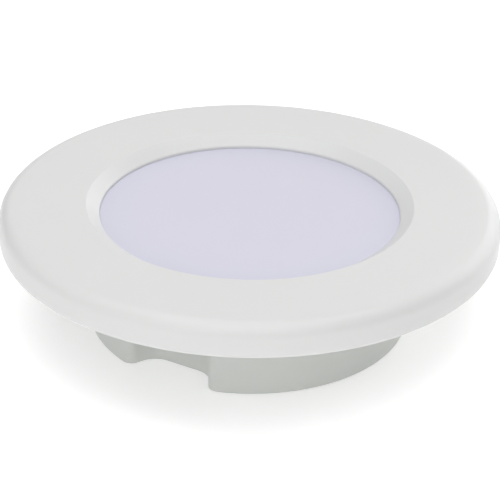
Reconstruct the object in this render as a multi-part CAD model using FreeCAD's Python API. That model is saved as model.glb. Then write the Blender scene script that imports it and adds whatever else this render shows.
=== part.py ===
import FreeCAD
import Part
import math
import os

# Surface-mounted underwater pool light, lying on its back: the wall plane is z = 0, the front faces +Z,
# and the light's axis is the Z axis. The grip notch in the hub is centred on the -Y side. Millimetres.

# Driving dimensions
face_r = 75.0            # outer radius of the face ring
front_z = 38.3           # front face above the wall plane
hub_r = 48.6             # outer radius of the hub behind the face ring
window_r = 45.2          # radius of the opening over the lens
rim_gap = 0.5            # hub rim to wall plane
wall_t = 2.8             # moulded wall of the hub

# Face ring
edge_h = 10.1            # height of the outer edge
edge_round = 4.3         # rounding of the front edge
back_round = 1.5         # rounding of the rear edge
bevel_r = 49.1           # where the bevel meets the flat front
bevel_drop = 2.75        # how far the bevel falls to the lip
ring_t = 2.4             # moulded wall of the ring
lens_drop = 3.7          # lens surface below the front face
lip_w = 2.4              # radial width of the lip round the opening
clamp_r, clamp_w = 50.6, 2.0    # rib that presses the lens on its seal
boss_r = 3.4             # screw bosses behind the ring
ring_pilot_r = 1.5       # holes in the bosses, and clearance holes in the flange
ring_ribs = 24           # ribs between the flat front and the outer edge
rib_w, rib_h = 1.2, 4.4
sunk = 0.2               # how far added bosses, ribs and tabs reach into the wall they stand on

# Lens and seal
lens_r = 54.0
lens_t = 2.6
seal_in_r, seal_out_r, seal_t = 47.8, 53.4, 1.8
lens_z = front_z - lens_drop

# Housing
flange_r = 66.5
flange_t = 3.0
pocket_r = 54.5          # locates the lens
pocket_wall = 2.5
floor_z, floor_t = 10.8, 2.4
seat_z = lens_z - lens_t - seal_t
seat_t = 2.6
ring_under_z = front_z - ring_t
boss_t = 3.0
flange_top_z = ring_under_z - boss_t
flange_z = flange_top_z - flange_t
cavity_r = hub_r - wall_t
cavity_z = floor_z + floor_t
ring_screws, ring_screw_circle_r = 8, 60.5
standoff_r = 2.6         # the driver board stands on two of these
gusset_t, gusset_z = 1.5, 4.5    # thickness, and height of the lower edge above the wall plane
gusset_step = 30         # degrees between gussets, which leave out the notch's side

# Grip notch
notch_floor_r = 38.8     # radius of the notch floor
notch_half_w = 9.5       # half width where the flared walls meet the floor
notch_flare = 26.0       # degrees between each wall and the notch's centre line
notch_top_z = 20.0
notch_in_round = 6.5
notch_out_round = 3.2

# Bayonet between the bracket and the lamp
tab_count = 3
tab_first = 90.0         # degrees, centre of the first tab
tab_half, lug_half = 15.0, 13.0
stop_w = 3.0             # degrees
twist = 31.0             # degrees from locked to free
collar_in_r, collar_r, tab_r = 25.0, 28.0, 31.4
tab_z, tab_t = 7.8, 2.4
lug_r, lug_z, lug_t = 28.5, 5.0, 2.5
socket_r, socket_out_r = 32.0, 34.4
weld_r, weld_t = 39.6, 2.0    # flange that is welded to the housing's floor

# Bracket
bracket_r, bracket_t = 34.5, 2.6
conduit_r = 13.5         # opening for the wall conduit
wall_hole_r, wall_hole_circle_r = 2.25, 19.5
wall_hole_first = 30.0
plate_round = 0.8
stiffener_w, stiffener_h = 1.4, 2.0
stiffener_in_r = 15.5

# Cable gland, thread M16
gland_thread_r = 8.0
gland_flange_af, gland_flange_t = 20.0, 3.0
gland_seal_r, gland_seal_t = 10.5, 1.2
gland_neck_r = 7.5
grommet_r, cable_r = 5.6, 3.75
throat_r = 4.55          # way through the gland for the cable
grommet_top_z = 10.0
throat_z = 11.0          # where the grommet's bore narrows to the throat
nut_chamfer = 0.8
gland_nut_z, gland_nut_t = 0.6, 5.8
locknut_af, locknut_t = 22.0, 3.5

# Light engine
post_xy = (33.3, 13.8)   # heat spreader posts, on both signs of x and y
post_r, post_top_z = 3.4, 23.4
post_pilot_r, post_pilot_t = 1.25, 8.0
layer_screw_r = 1.5      # holes for the board screws
carrier_in_r, carrier_out_r, carrier_t = 34.0, 44.6, 1.6
spreader_r, spreader_t = 45.0, 1.5
pad_t = 0.3
led_board_r, led_board_t = 44.5, 1.2
led_rings = ((9.0, 6), (18.0, 12), (27.0, 18), (36.0, 24))
led_size = (3.5, 2.8, 0.7)
led_window_r, led_window_t = 1.0, 0.2
lead_hole_y, lead_hole_r = 38.0, 3.0
lead_r, lead_x = 0.6, 1.5
lead_bend, lead_tail = 2.0, 5.0
lead_exit = 2.6          # height of the leads above the driver board

# Driver board
driver_size = (54.0, 20.0, 1.6)
driver_y, driver_z = 23.0, 15.2
driver_screw_x, driver_screw_y = 23.5, 16.5
driver_pilot_r = 1.0
plug_size, plug_y = (6.6, 5.2, 4.4), 7.4    # the leads leave its +Y side
capacitor_base, capacitor_r, capacitor_h = (6.6, 6.6, 1.0), 3.15, 5.8
capacitor_places = ((-9.5, -5.2), (-1.8, -5.2))
inductor_base, inductor_place = (9.2, 9.2, 0.9), (8.6, -4.4)
chip_size, chip_places = (4.9, 3.9, 1.5), ((-10.0, 5.0), (11.5, 5.0))
resistor_size = (3.2, 1.6, 0.6)
resistor_places = ((-4.4, 0.9), (0.0, 0.9))
upright_resistor_places = ((16.6, 3.0), (19.2, 3.0), (21.8, 3.0))
rectifier_size, rectifier_place = (5.6, 7.6, 2.6), (17.4, -4.8)
terminal_size, terminal_place = (10.2, 7.6, 5.8), (-20.5, 4.8)
terminal_pitch = 5.0
potting_z = 18.4

AXIS = FreeCAD.Vector(0, 0, 1)
ORIGIN = FreeCAD.Vector(0, 0, 0)


def vec(x, y, z=0.0):
    return FreeCAD.Vector(x, y, z)


def turn(shape, degrees):
    copy = shape.copy()
    copy.rotate(ORIGIN, AXIS, degrees)
    return copy


def around(shape, count, first=0.0):
    return [turn(shape, first + 360.0 * i / count) for i in range(count)]


def rounded_outline(corners):
    """Closed wire through (vector, radius) corners, each corner rounded to its radius."""
    count = len(corners)
    entries, edges = [], []
    for i in range(count):
        here, radius = corners[i]
        back = (corners[i - 1][0] - here).normalize()
        ahead = (corners[(i + 1) % count][0] - here).normalize()
        if radius <= 0:
            entries.append((here, here, here))
            continue
        half = back.getAngle(ahead) / 2
        reach = radius / math.tan(half)
        bisector = (back + ahead).normalize()
        middle = here + bisector * (radius / math.sin(half) - radius)
        entries.append((here + back * reach, middle, here + ahead * reach))
    for i in range(count):
        start, middle, end = entries[i]
        following = entries[(i + 1) % count][0]
        if start.distanceToPoint(end) > 1e-6:
            edges.append(Part.Arc(start, middle, end).toShape())
        if end.distanceToPoint(following) > 1e-6:
            edges.append(Part.LineSegment(end, following).toShape())
    return Part.Wire(edges)


def turned(points):
    """Solid of revolution about Z of an outline of (radius, z) or (radius, z, rounding) points."""
    corners = [(vec(p[0], 0, p[1]), p[2] if len(p) > 2 else 0.0) for p in points]
    face = Part.Face(rounded_outline(corners))
    return face.revolve(ORIGIN, AXIS, 360)


def tube(outer, inner, z0, z1):
    return Part.makeCylinder(outer, z1 - z0, vec(0, 0, z0)).cut(
        Part.makeCylinder(inner, z1 - z0, vec(0, 0, z0))
    )


def rod(radius, x, y, z0, z1):
    return Part.makeCylinder(radius, z1 - z0, vec(x, y, z0))


def block(size, x, y, z):
    """Box of (length, width, height) centred on x, y and standing on z."""
    return Part.makeBox(*size, vec(x - size[0] / 2, y - size[1] / 2, z))


def sector(inner, outer, z0, z1, centre, half):
    """Part of a ring, as wide as half degrees each side of centre."""
    face = Part.makePlane(outer - inner, z1 - z0, vec(inner, 0, z0), vec(0, -1, 0), vec(1, 0, 0))
    return turn(face.revolve(ORIGIN, AXIS, 2 * half), centre - half)


def hexagon(across_flats, z0, z1):
    radius = across_flats / math.sqrt(3)
    points = [
        vec(radius * math.cos(math.radians(60 * i)), radius * math.sin(math.radians(60 * i)), z0)
        for i in range(7)
    ]
    return Part.Face(Part.makePolygon(points)).extrude(vec(0, 0, z1 - z0))


def softened_hexagon(across_flats, z0, z1, chamfer):
    """Hexagon whose corners are turned down at both ends, as on a nut."""
    radius = across_flats / math.sqrt(3)
    turned_blank = turned(
        [
            (0, z0),
            (radius - chamfer, z0),
            (radius, z0 + chamfer * 0.6),
            (radius, z1 - chamfer * 0.6),
            (radius - chamfer, z1),
            (0, z1),
        ]
    )
    return hexagon(across_flats, z0, z1).common(turned_blank)


def join(first, *others):
    """One solid from several, with the seams between them removed."""
    return first.multiFuse(list(others)).removeSplitter()


def notch_prism(grow, z0, z1):
    """The grip notch as a prism, with its walls and floor moved outwards by grow."""
    flare = math.radians(notch_flare)
    floor_y = -(notch_floor_r - grow)
    half = notch_half_w + grow / math.cos(flare) - grow * math.tan(flare)
    mouth_y = -1.25 * hub_r
    mouth = half + (floor_y - mouth_y) * math.tan(flare)
    rounding = notch_in_round + grow
    corners = [
        (vec(-mouth, mouth_y, z0), 0.0),
        (vec(mouth, mouth_y, z0), 0.0),
        (vec(half, floor_y, z0), rounding),
        (vec(-half, floor_y, z0), rounding),
    ]
    return Part.Face(rounded_outline(corners)).extrude(vec(0, 0, z1 - z0))


def bayonet_angles():
    return [tab_first + 360.0 * i / tab_count for i in range(tab_count)]


def post_places():
    x, y = post_xy
    return [(sx * x, sy * y) for sx in (-1, 1) for sy in (-1, 1)]


def ring_screw_places():
    angles = [2 * math.pi * (i + 0.5) / ring_screws for i in range(ring_screws)]
    return [(ring_screw_circle_r * math.cos(a), ring_screw_circle_r * math.sin(a)) for a in angles]


def standoff_places():
    return [(-driver_screw_x, driver_screw_y), (driver_screw_x, driver_screw_y)]


def make_face_ring():
    """White front trim: flat face, rounded edge, bevel down to the lens, bosses and ribs behind."""
    edge_z = front_z - edge_h
    ring = turned(
        [
            (window_r, lens_z),
            (window_r + lip_w, lens_z),
            (window_r + lip_w, ring_under_z),
            (face_r - ring_t, ring_under_z, edge_round - ring_t),
            (face_r - ring_t, edge_z, 0.6),
            (face_r, edge_z, back_round),
            (face_r, front_z, edge_round),
            (bevel_r, front_z, 1.0),
            (window_r, front_z - bevel_drop, 0.5),
        ]
    )
    bosses = [rod(boss_r, x, y, flange_top_z, ring_under_z + sunk) for x, y in ring_screw_places()]
    clamp = tube(clamp_r + clamp_w / 2, clamp_r - clamp_w / 2, lens_z, ring_under_z + sunk)
    rib_in_r, rib_out_r = flange_r + 0.7, face_r - ring_t + 2 * sunk
    rib = block((rib_out_r - rib_in_r, rib_w, rib_h + sunk), (rib_in_r + rib_out_r) / 2, 0,
                ring_under_z - rib_h)
    ring = join(ring, clamp, *bosses, *around(rib, ring_ribs, 180.0 / ring_ribs))
    pilots = [
        rod(ring_pilot_r, x, y, flange_top_z - 1, ring_under_z + 0.9) for x, y in ring_screw_places()
    ]
    return ring.cut(Part.makeCompound(pilots))


def make_lens():
    """Flat opal disc. Its outer edge lies under the ring's lip, between the clamp rib and the seal."""
    return turned(
        [
            (0, lens_z - lens_t),
            (lens_r, lens_z - lens_t, 0.4),
            (lens_r, lens_z, 0.4),
            (0, lens_z),
        ]
    )


def make_lens_seal():
    """Flat silicone ring between the lens and the housing's seat."""
    return turned(
        [
            (seal_in_r, seat_z, 0.3),
            (seal_out_r, seat_z, 0.3),
            (seal_out_r, seat_z + seal_t, 0.3),
            (seal_in_r, seat_z + seal_t, 0.3),
        ]
    )


def housing_hub():
    """Outside of the hub, with the grip notch and its rounded mouth."""
    notched = Part.makeCylinder(hub_r, notch_top_z).cut(notch_prism(0.0, -1, notch_top_z + 1))
    mouth_edges = [e for e in notched.Edges if is_notch_mouth(e)]
    notched = notched.makeFillet(notch_out_round, mouth_edges)
    top_z = seat_z - sunk
    hub = join(notched, Part.makeCylinder(hub_r, top_z - notch_top_z, vec(0, 0, notch_top_z)))
    blank = turned([(0, rim_gap), (hub_r, rim_gap, 0.4), (hub_r, top_z), (0, top_z)])
    return hub.common(blank)


def is_notch_mouth(edge):
    """True for the two upright edges where the notch walls meet the outside of the hub."""
    ends = [v.Point for v in edge.Vertexes]
    if len(ends) != 2 or abs(ends[0].x - ends[1].x) > 1e-4 or abs(ends[0].y - ends[1].y) > 1e-4:
        return False
    here = ends[0]
    return here.y < 0 and abs(math.hypot(here.x, here.y) - hub_r) < 0.01


def housing_hollows():
    """The sealed cavity above the floor and the open recess behind it, both shaped round the notch."""
    cavity = Part.makeCylinder(cavity_r, front_z, vec(0, 0, cavity_z))
    cavity = cavity.cut(notch_prism(wall_t, 0, notch_top_z + wall_t))
    recess = Part.makeCylinder(cavity_r, floor_z + 1, vec(0, 0, -1))
    recess = recess.cut(notch_prism(wall_t, -2, floor_z + 1))
    return cavity, recess


def make_lamp_housing():
    """Main casing: hub, floor, lens seat, flange for the face ring, and gussets behind the floor."""
    flange = turned(
        [
            (cavity_r, seat_z - seat_t),
            (pocket_r + pocket_wall, seat_z - seat_t, 1.0),
            (pocket_r + pocket_wall, flange_z, 1.0),
            (flange_r, flange_z, 0.5),
            (flange_r, flange_top_z, 0.5),
            (pocket_r, flange_top_z, 0.5),
            (pocket_r, seat_z),
            (cavity_r, seat_z, 0.4),
        ]
    )
    cavity, recess = housing_hollows()
    shell = housing_hub().cut(cavity).cut(recess)
    gusset_in_r, gusset_out_r = weld_r + 0.6, cavity_r + 0.6
    gusset = block((gusset_out_r - gusset_in_r, gusset_t, floor_z - gusset_z + sunk),
                   (gusset_out_r + gusset_in_r) / 2, 0, gusset_z)
    gussets = [turn(gusset, a) for a in range(-gusset_step, 181 + gusset_step, gusset_step)]
    standoffs = [rod(standoff_r, x, y, cavity_z - sunk, driver_z) for x, y in standoff_places()]
    housing = join(shell, flange, *gussets, *standoffs)
    gland_hole = Part.makeCylinder(gland_thread_r, 10, vec(0, 0, floor_z - 3))
    pilots = [
        rod(driver_pilot_r, x, y, floor_z + floor_t / 2, driver_z + 1) for x, y in standoff_places()
    ]
    clearance = [
        rod(ring_pilot_r, x, y, flange_z - 1, flange_top_z + 1) for x, y in ring_screw_places()
    ]
    return housing.cut(Part.makeCompound([gland_hole, *pilots, *clearance]))


def make_bayonet_ring():
    """Socket with the lamp's lugs, welded to the rear of the housing's floor."""
    weld_flange = tube(weld_r, socket_r, floor_z - weld_t, floor_z)
    weld_flange = weld_flange.cut(notch_prism(wall_t + 0.4, 0, floor_z + 1))
    lugs = [
        sector(lug_r, socket_r + 0.4, lug_z, lug_z + lug_t, a, lug_half) for a in bayonet_angles()
    ]
    return join(tube(socket_out_r, socket_r, lug_z, floor_z), weld_flange, *lugs)


def make_engine_carrier():
    """Open ring with four posts that hold the heat spreader. The resin locks it to the floor."""
    base = tube(carrier_out_r, carrier_in_r, cavity_z, cavity_z + carrier_t)
    base = base.cut(notch_prism(wall_t + 0.5, 0, front_z))
    posts = [rod(post_r, x, y, cavity_z, post_top_z) for x, y in post_places()]
    pilots = [
        rod(post_pilot_r, x, y, post_top_z - post_pilot_t, post_top_z + 1) for x, y in post_places()
    ]
    return join(base, *posts).cut(Part.makeCompound(pilots))


def make_wall_bracket():
    """Plate that screws to the wall, with a collar whose tabs hold the lamp's lugs."""
    plate = turned(
        [
            (conduit_r, 0),
            (bracket_r, 0),
            (bracket_r, bracket_t, plate_round),
            (conduit_r, bracket_t, plate_round),
        ]
    )
    pieces = [tube(collar_r, collar_in_r, bracket_t - sunk, tab_z + tab_t)]
    inner = collar_r - 2 * sunk
    for a in bayonet_angles():
        pieces.append(sector(inner, tab_r, tab_z, tab_z + tab_t, a, tab_half))
        lock_stop = a - lug_half - 0.5 - stop_w / 2
        free_stop = a + twist + lug_half + 1.0 + stop_w / 2
        for stop in (lock_stop, free_stop):
            pieces.append(sector(inner, tab_r, bracket_t - sunk, tab_z + tab_t, stop, stop_w / 2))
    stiffener_out_r = collar_in_r + 2 * sunk
    stiffener = block((stiffener_out_r - stiffener_in_r, stiffener_w, stiffener_h + sunk),
                      (stiffener_out_r + stiffener_in_r) / 2, 0, bracket_t - sunk)
    pieces += around(stiffener, tab_count, tab_first)
    bracket = join(plate, *pieces)
    hole = rod(wall_hole_r, wall_hole_circle_r, 0, -1, bracket_t + 1)
    return bracket.cut(Part.makeCompound(around(hole, tab_count, wall_hole_first)))


def screw(x, y, head_z, up, shank_r, head_r, head_t, length):
    """Pan head screw with a cross recess. up is 1 with its head on top and -1 with its head below."""
    head = turned(
        [
            (0, 0),
            (head_r, 0, 0.1),
            (head_r, head_t, head_t * 0.55),
            (0, head_t),
        ]
    )
    slot_w, slot_l, slot_t = head_r * 0.22, head_r * 1.1, head_t * 0.6
    cross = [
        block((slot_l, slot_w, head_t), 0, 0, head_t - slot_t),
        block((slot_w, slot_l, head_t), 0, 0, head_t - slot_t),
    ]
    tip_r, tip_z = shank_r * 0.4, shank_r * 0.9 - length
    shank = turned([(0, -length), (tip_r, -length), (shank_r, tip_z), (shank_r, sunk), (0, sunk)])
    body = join(head, shank).cut(Part.makeCompound(cross))
    if up < 0:
        body.rotate(ORIGIN, vec(1, 0, 0), 180)
    body.translate(vec(x, y, head_z))
    return body


def make_ring_screws():
    length = flange_t + boss_t + 0.6
    return [screw(x, y, flange_z, -1, ring_pilot_r, 2.6, 1.45, length) for x, y in ring_screw_places()]


def make_board_screws():
    top = board_top_z()
    return [screw(x, y, top, 1, post_pilot_r, 2.4, 1.5, 9.0) for x, y in post_places()]


def make_driver_screws():
    top = driver_z + driver_size[2]
    return [screw(x, y, top, 1, driver_pilot_r, 1.9, 1.2, 4.6) for x, y in standoff_places()]


def board_top_z():
    return post_top_z + spreader_t + pad_t + led_board_t


def engine_disc(radius, z, thickness):
    """Round layer of the light engine, with its screw holes and the hole for the leads."""
    disc = Part.makeCylinder(radius, thickness, vec(0, 0, z))
    holes = [rod(layer_screw_r, x, y, z - 1, z + thickness + 1) for x, y in post_places()]
    holes.append(rod(lead_hole_r, 0, lead_hole_y, z - 1, z + thickness + 1))
    return disc.cut(Part.makeCompound(holes))


def make_leds():
    """Emitter packages on four rings and one at the centre, clear of the leads."""
    package = block(led_size, 0, 0, board_top_z())
    window_z = board_top_z() + led_size[2] - led_window_t
    window = Part.makeCylinder(led_window_r, led_window_t, vec(0, 0, window_z))
    package = package.cut(window)
    leds = [package.copy()]
    for radius, count in led_rings:
        for i in range(count):
            angle = 360.0 * i / count
            if radius == led_rings[-1][0] and abs(angle - 90.0) < 1.0:
                continue
            led = package.copy()
            led.translate(vec(radius, 0, 0))
            leds.append(turn(led, angle))
    return leds


def lead(x):
    """Insulated wire from the driver's plug, up through the boards, to its pad on the emitter board."""
    plug_z, board_z = driver_z + driver_size[2] + lead_exit, board_top_z() + lead_r
    corners = [
        vec(x, driver_y + plug_y + plug_size[1] / 2, plug_z),
        vec(x, lead_hole_y, plug_z),
        vec(x, lead_hole_y, board_z),
        vec(x, lead_hole_y - lead_tail, board_z),
    ]
    edges, start = [], corners[0]
    for i in (1, 2):
        back = (corners[i - 1] - corners[i]).normalize()
        ahead = (corners[i + 1] - corners[i]).normalize()
        enter, leave = corners[i] + back * lead_bend, corners[i] + ahead * lead_bend
        middle = corners[i] + (back + ahead).normalize() * (lead_bend * (math.sqrt(2) - 1))
        edges += [Part.LineSegment(start, enter).toShape(), Part.Arc(enter, middle, leave).toShape()]
        start = leave
    edges.append(Part.LineSegment(start, corners[3]).toShape())
    section = Part.Wire([Part.makeCircle(lead_r, corners[0], vec(0, 1, 0))])
    return Part.Wire(edges).makePipeShell([section], True, False)


def on_driver(size, x, y):
    """Box on the driver board, placed from the board's centre."""
    return block(size, x, driver_y + y, driver_z + driver_size[2])


def make_capacitor(x, y):
    """Aluminium can on its plastic base."""
    base_h = capacitor_base[2]
    can = turned([(0, base_h), (capacitor_r, base_h), (capacitor_r, capacitor_h, 0.5), (0, capacitor_h)])
    can.translate(vec(x, driver_y + y, driver_z + driver_size[2]))
    return join(on_driver(capacitor_base, x, y), can)


def make_inductor(x, y):
    """Ferrite drum, with its winding as a waist, on its base."""
    drum_r, waist_r, top = 4.2, 3.4, 4.4
    drum = turned([(0, 0.8), (drum_r, 0.8), (drum_r, 1.2), (waist_r, 1.5), (waist_r, top - 0.8),
                   (drum_r, top - 0.5), (drum_r, top, 0.2), (0, top)])
    drum.translate(vec(x, driver_y + y, driver_z + driver_size[2]))
    return join(on_driver(inductor_base, x, y), drum)


def make_terminal(x, y):
    """Two-way screw terminal: wire holes in its +Y side, screw wells in its top."""
    body = on_driver(terminal_size, x, y)
    top = driver_z + driver_size[2]
    front_y = driver_y + y + terminal_size[1] / 2 + 1
    cuts = []
    for centre_x in (x - terminal_pitch / 2, x + terminal_pitch / 2):
        cuts.append(Part.makeCylinder(1.3, 5.0, vec(centre_x, front_y, top + 2.0), vec(0, -1, 0)))
        cuts.append(Part.makeCylinder(1.5, 2.5, vec(centre_x, driver_y + y - 0.8, top + 3.8)))
    return body.cut(Part.makeCompound(cuts))


def driver_parts():
    """The components on the driver board, by node name."""
    upright_size = (resistor_size[1], resistor_size[0], resistor_size[2])
    resistors = [on_driver(resistor_size, *place) for place in resistor_places]
    resistors += [on_driver(upright_size, *place) for place in upright_resistor_places]
    return {
        "smoothing_capacitors": [make_capacitor(*place) for place in capacitor_places],
        "filter_inductor": [make_inductor(*inductor_place)],
        "driver_chips": [on_driver(chip_size, *place) for place in chip_places],
        "sense_resistors": resistors,
        "bridge_rectifier": [on_driver(rectifier_size, *rectifier_place)],
        "supply_terminal_block": [make_terminal(*terminal_place)],
        "led_plug": [on_driver(plug_size, 0, plug_y)],
    }


def make_driver_board():
    board = block(driver_size, 0, driver_y, driver_z)
    holes = [rod(driver_pilot_r, x, y, driver_z - 1, driver_z + 3) for x, y in standoff_places()]
    return board.cut(Part.makeCompound(holes))


def gland_levels():
    """Heights of the gland's faces: hexagon flange top and bottom, and the end of its lower neck."""
    flange_top = floor_z - gland_seal_t
    flange_bottom = flange_top - gland_flange_t
    return flange_top, flange_bottom, gland_nut_z + 2.2


def make_gland_body():
    flange_top, flange_bottom, neck_z = gland_levels()
    body = join(
        softened_hexagon(gland_flange_af, flange_bottom, flange_top, nut_chamfer),
        Part.makeCylinder(gland_thread_r, cavity_z + locknut_t + 1.0 - flange_top, vec(0, 0, flange_top)),
        Part.makeCylinder(gland_neck_r, flange_bottom - neck_z, vec(0, 0, neck_z)),
    )
    bore = Part.makeCylinder(grommet_r, throat_z + 1 - neck_z + 1, vec(0, 0, neck_z - 1))
    throat = Part.makeCylinder(throat_r, cavity_z, vec(0, 0, throat_z))
    return body.cut(bore).cut(throat)


def make_gland_nut():
    neck_z = gland_levels()[2]
    top = gland_nut_z + gland_nut_t
    blank = softened_hexagon(gland_flange_af, gland_nut_z + 1.6, top, nut_chamfer)
    dome_r = gland_flange_af / 2 - sunk
    dome = turned(
        [
            (0, gland_nut_z),
            (cable_r + 2.6, gland_nut_z, 0.6),
            (dome_r, gland_nut_z + 1.9),
            (dome_r, gland_nut_z + 2.4),
            (0, gland_nut_z + 2.4),
        ]
    )
    bore = Part.makeCylinder(gland_neck_r + 0.05, top - neck_z + 1.3, vec(0, 0, neck_z - 0.3))
    mouth = Part.makeCylinder(cable_r + 0.7, 6, vec(0, 0, gland_nut_z - 2))
    return join(blank, dome).cut(bore).cut(mouth)


def make_potting(solids):
    """Resin poured over the driver board, up to potting_z, and cut to everything it surrounds."""
    cavity = housing_hollows()[0]
    fill = cavity.common(Part.makeCylinder(cavity_r + 1, potting_z - cavity_z, vec(0, 0, cavity_z)))
    core = Part.makeCylinder(throat_r, potting_z)
    fill = fill.cut(core)
    for solid in solids:
        fill = fill.cut(solid)
    return max(fill.Solids, key=lambda s: s.Volume)


def build():
    """Every node's shapes, by node name."""
    pad_z = post_top_z + spreader_t
    board_z = pad_z + pad_t
    nodes = {
        "wall_bracket": [make_wall_bracket()],
        "lamp_housing": [make_lamp_housing()],
        "bayonet_ring": [make_bayonet_ring()],
        "engine_carrier": [make_engine_carrier()],
        "face_ring": [make_face_ring()],
        "lens": [make_lens()],
        "lens_seal": [make_lens_seal()],
        "face_ring_screws": make_ring_screws(),
        "heat_spreader": [engine_disc(spreader_r, post_top_z, spreader_t)],
        "thermal_pad": [engine_disc(led_board_r, pad_z, pad_t)],
        "led_board": [engine_disc(led_board_r, board_z, led_board_t)],
        "leds": make_leds(),
        "led_board_screws": make_board_screws(),
        "driver_board": [make_driver_board()],
        "driver_board_screws": make_driver_screws(),
        "led_lead_positive": [lead(lead_x)],
        "led_lead_negative": [lead(-lead_x)],
        "gland_body": [make_gland_body()],
        "gland_flange_seal": [tube(gland_seal_r, gland_thread_r, floor_z - gland_seal_t, floor_z)],
        "gland_locknut": [
            softened_hexagon(locknut_af, cavity_z, cavity_z + locknut_t, nut_chamfer).cut(
                Part.makeCylinder(gland_thread_r, 20)
            )
        ],
        "gland_grommet": [tube(grommet_r, cable_r, gland_levels()[2], grommet_top_z)],
        "gland_nut": [make_gland_nut()],
    }
    nodes.update(driver_parts())
    buried = [
        "lamp_housing", "engine_carrier", "driver_board", "driver_board_screws", "gland_body",
        "gland_locknut", "smoothing_capacitors", "filter_inductor", "driver_chips",
        "sense_resistors", "bridge_rectifier", "supply_terminal_block", "led_plug",
    ]
    nodes["potting_resin"] = [make_potting([s for name in buried for s in nodes[name]])]
    return nodes


def write(nodes):
    os.makedirs("parts", exist_ok=True)
    for name, shapes in nodes.items():
        solids = [solid for shape in shapes for solid in shape.Solids]
        good = all(s.isValid() and s.isClosed() and s.Volume > 0 for s in solids)
        shape = solids[0] if len(solids) == 1 else Part.makeCompound(solids)
        shape.exportStep(os.path.join("parts", name + ".step"))
        box = shape.BoundBox
        print(
            f"{name:22s} {len(solids):3d} solids  {sum(s.Volume for s in solids):10.1f} mm3  "
            f"z {box.ZMin:6.2f} to {box.ZMax:6.2f}  {'ok' if good else 'BAD'}"
        )


write(build())
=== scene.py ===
import math

import bmesh
import bpy
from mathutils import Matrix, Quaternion, Vector


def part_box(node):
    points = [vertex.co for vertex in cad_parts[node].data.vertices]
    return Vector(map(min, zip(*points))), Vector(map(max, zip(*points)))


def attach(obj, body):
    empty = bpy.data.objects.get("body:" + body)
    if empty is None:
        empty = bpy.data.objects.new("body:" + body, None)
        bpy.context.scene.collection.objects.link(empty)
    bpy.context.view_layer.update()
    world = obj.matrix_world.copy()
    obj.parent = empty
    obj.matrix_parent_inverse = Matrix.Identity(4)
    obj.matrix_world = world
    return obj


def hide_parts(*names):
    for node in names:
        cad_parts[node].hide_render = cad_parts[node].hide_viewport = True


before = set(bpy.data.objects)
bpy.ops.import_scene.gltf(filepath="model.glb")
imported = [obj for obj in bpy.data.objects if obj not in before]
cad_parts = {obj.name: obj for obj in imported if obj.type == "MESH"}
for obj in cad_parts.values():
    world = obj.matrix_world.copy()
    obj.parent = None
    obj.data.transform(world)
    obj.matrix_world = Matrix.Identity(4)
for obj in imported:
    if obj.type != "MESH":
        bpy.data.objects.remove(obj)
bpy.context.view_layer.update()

mm = 0.001
weldGap = 1e-7           # points nearer than this are one
ringLow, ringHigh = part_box("face_ring")
lensLow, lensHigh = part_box("lens")
faceRadius = ringHigh.x
frontHeight = ringHigh.z
eighths = [math.pi * (i + 0.5) / 4 for i in range(8)]
screwPlaces = {
    "ring": [(60.5 * mm * math.cos(a), 60.5 * mm * math.sin(a)) for a in eighths],
    "posts": [(x * 33.3 * mm, y * 13.8 * mm) for x in (-1, 1) for y in (-1, 1)],
    "driver": [(x * 23.5 * mm, 16.5 * mm) for x in (-1, 1)],
}
print("frame loaded,", len(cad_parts), "nodes")


# mesh tools

def roundedPath(points, steps=6):
    # closed path; a third number on a point is its rounding radius
    path = []
    for i, point in enumerate(points):
        here = Vector(point[:2])
        rounding = point[2] if len(point) > 2 else 0.0
        if rounding <= 0:
            path.append(here)
            continue
        back = (Vector(points[i - 1][:2]) - here).normalized()
        ahead = (Vector(points[(i + 1) % len(points)][:2]) - here).normalized()
        half = back.angle(ahead) / 2
        reach = rounding / math.tan(half)
        centre = here + (back + ahead).normalized() * (rounding / math.sin(half))
        start = here + back * reach - centre
        end = here + ahead * reach - centre
        turn = start.angle_signed(end)
        for step in range(steps + 1):
            angle = -turn * step / steps
            path.append(centre + Vector((
                start.x * math.cos(angle) - start.y * math.sin(angle),
                start.x * math.sin(angle) + start.y * math.cos(angle),
            )))
    return path


def splitLong(path, longest):
    # adds points along long straight runs, so faces stay compact
    result = []
    for i, here in enumerate(path):
        there = path[(i + 1) % len(path)]
        parts = max(1, math.ceil((there - here).length / longest))
        result += [here.lerp(there, part / parts) for part in range(parts)]
    return result


def skinned(levels, looped=False):
    # solid through rings of points; if it isn't looped, a flat face closes each end
    made = bmesh.new()
    rings = [[made.verts.new(p) for p in level] for level in levels]
    count = len(rings[0])
    for low, high in zip(rings, rings[1:] + (rings[:1] if looped else [])):
        for i in range(count):
            j = (i + 1) % count
            corners = [low[i], low[j], high[j], high[i]]
            if len({tuple(round(c, 8) for c in v.co) for v in corners}) > 2:    # not a sliver
                made.faces.new(corners)
    if not looped:
        made.faces.new(list(reversed(rings[0])))
        made.faces.new(rings[-1])
    return made


def spun(path, angles):
    # a (radius, z) path at each angle round the Z axis
    return [[(p[0] * math.cos(a), p[0] * math.sin(a), p[1]) for p in path] for a in angles]


def fullTurn(count):
    return [2 * math.pi * i / count for i in range(count)]


def lathed(points, turns, steps=4, longest=5 * mm):
    return skinned(spun(splitLong(roundedPath(points, steps), longest), fullTurn(turns)), looped=True)


def sectionOf(inner, outer, low, high, rounding):
    return [(inner, low, rounding), (outer, low, rounding), (outer, high, rounding), (inner, high, rounding)]


def sectorShape(inner, outer, low, high, centre, half, rounding, steps=12):
    # part of a ring, with its section's corners rounded
    section = roundedPath(sectionOf(inner, outer, low, high, rounding), 3)
    angles = [math.radians(centre - half + 2 * half * i / steps) for i in range(steps + 1)]
    return skinned(spun(section, angles))


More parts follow.
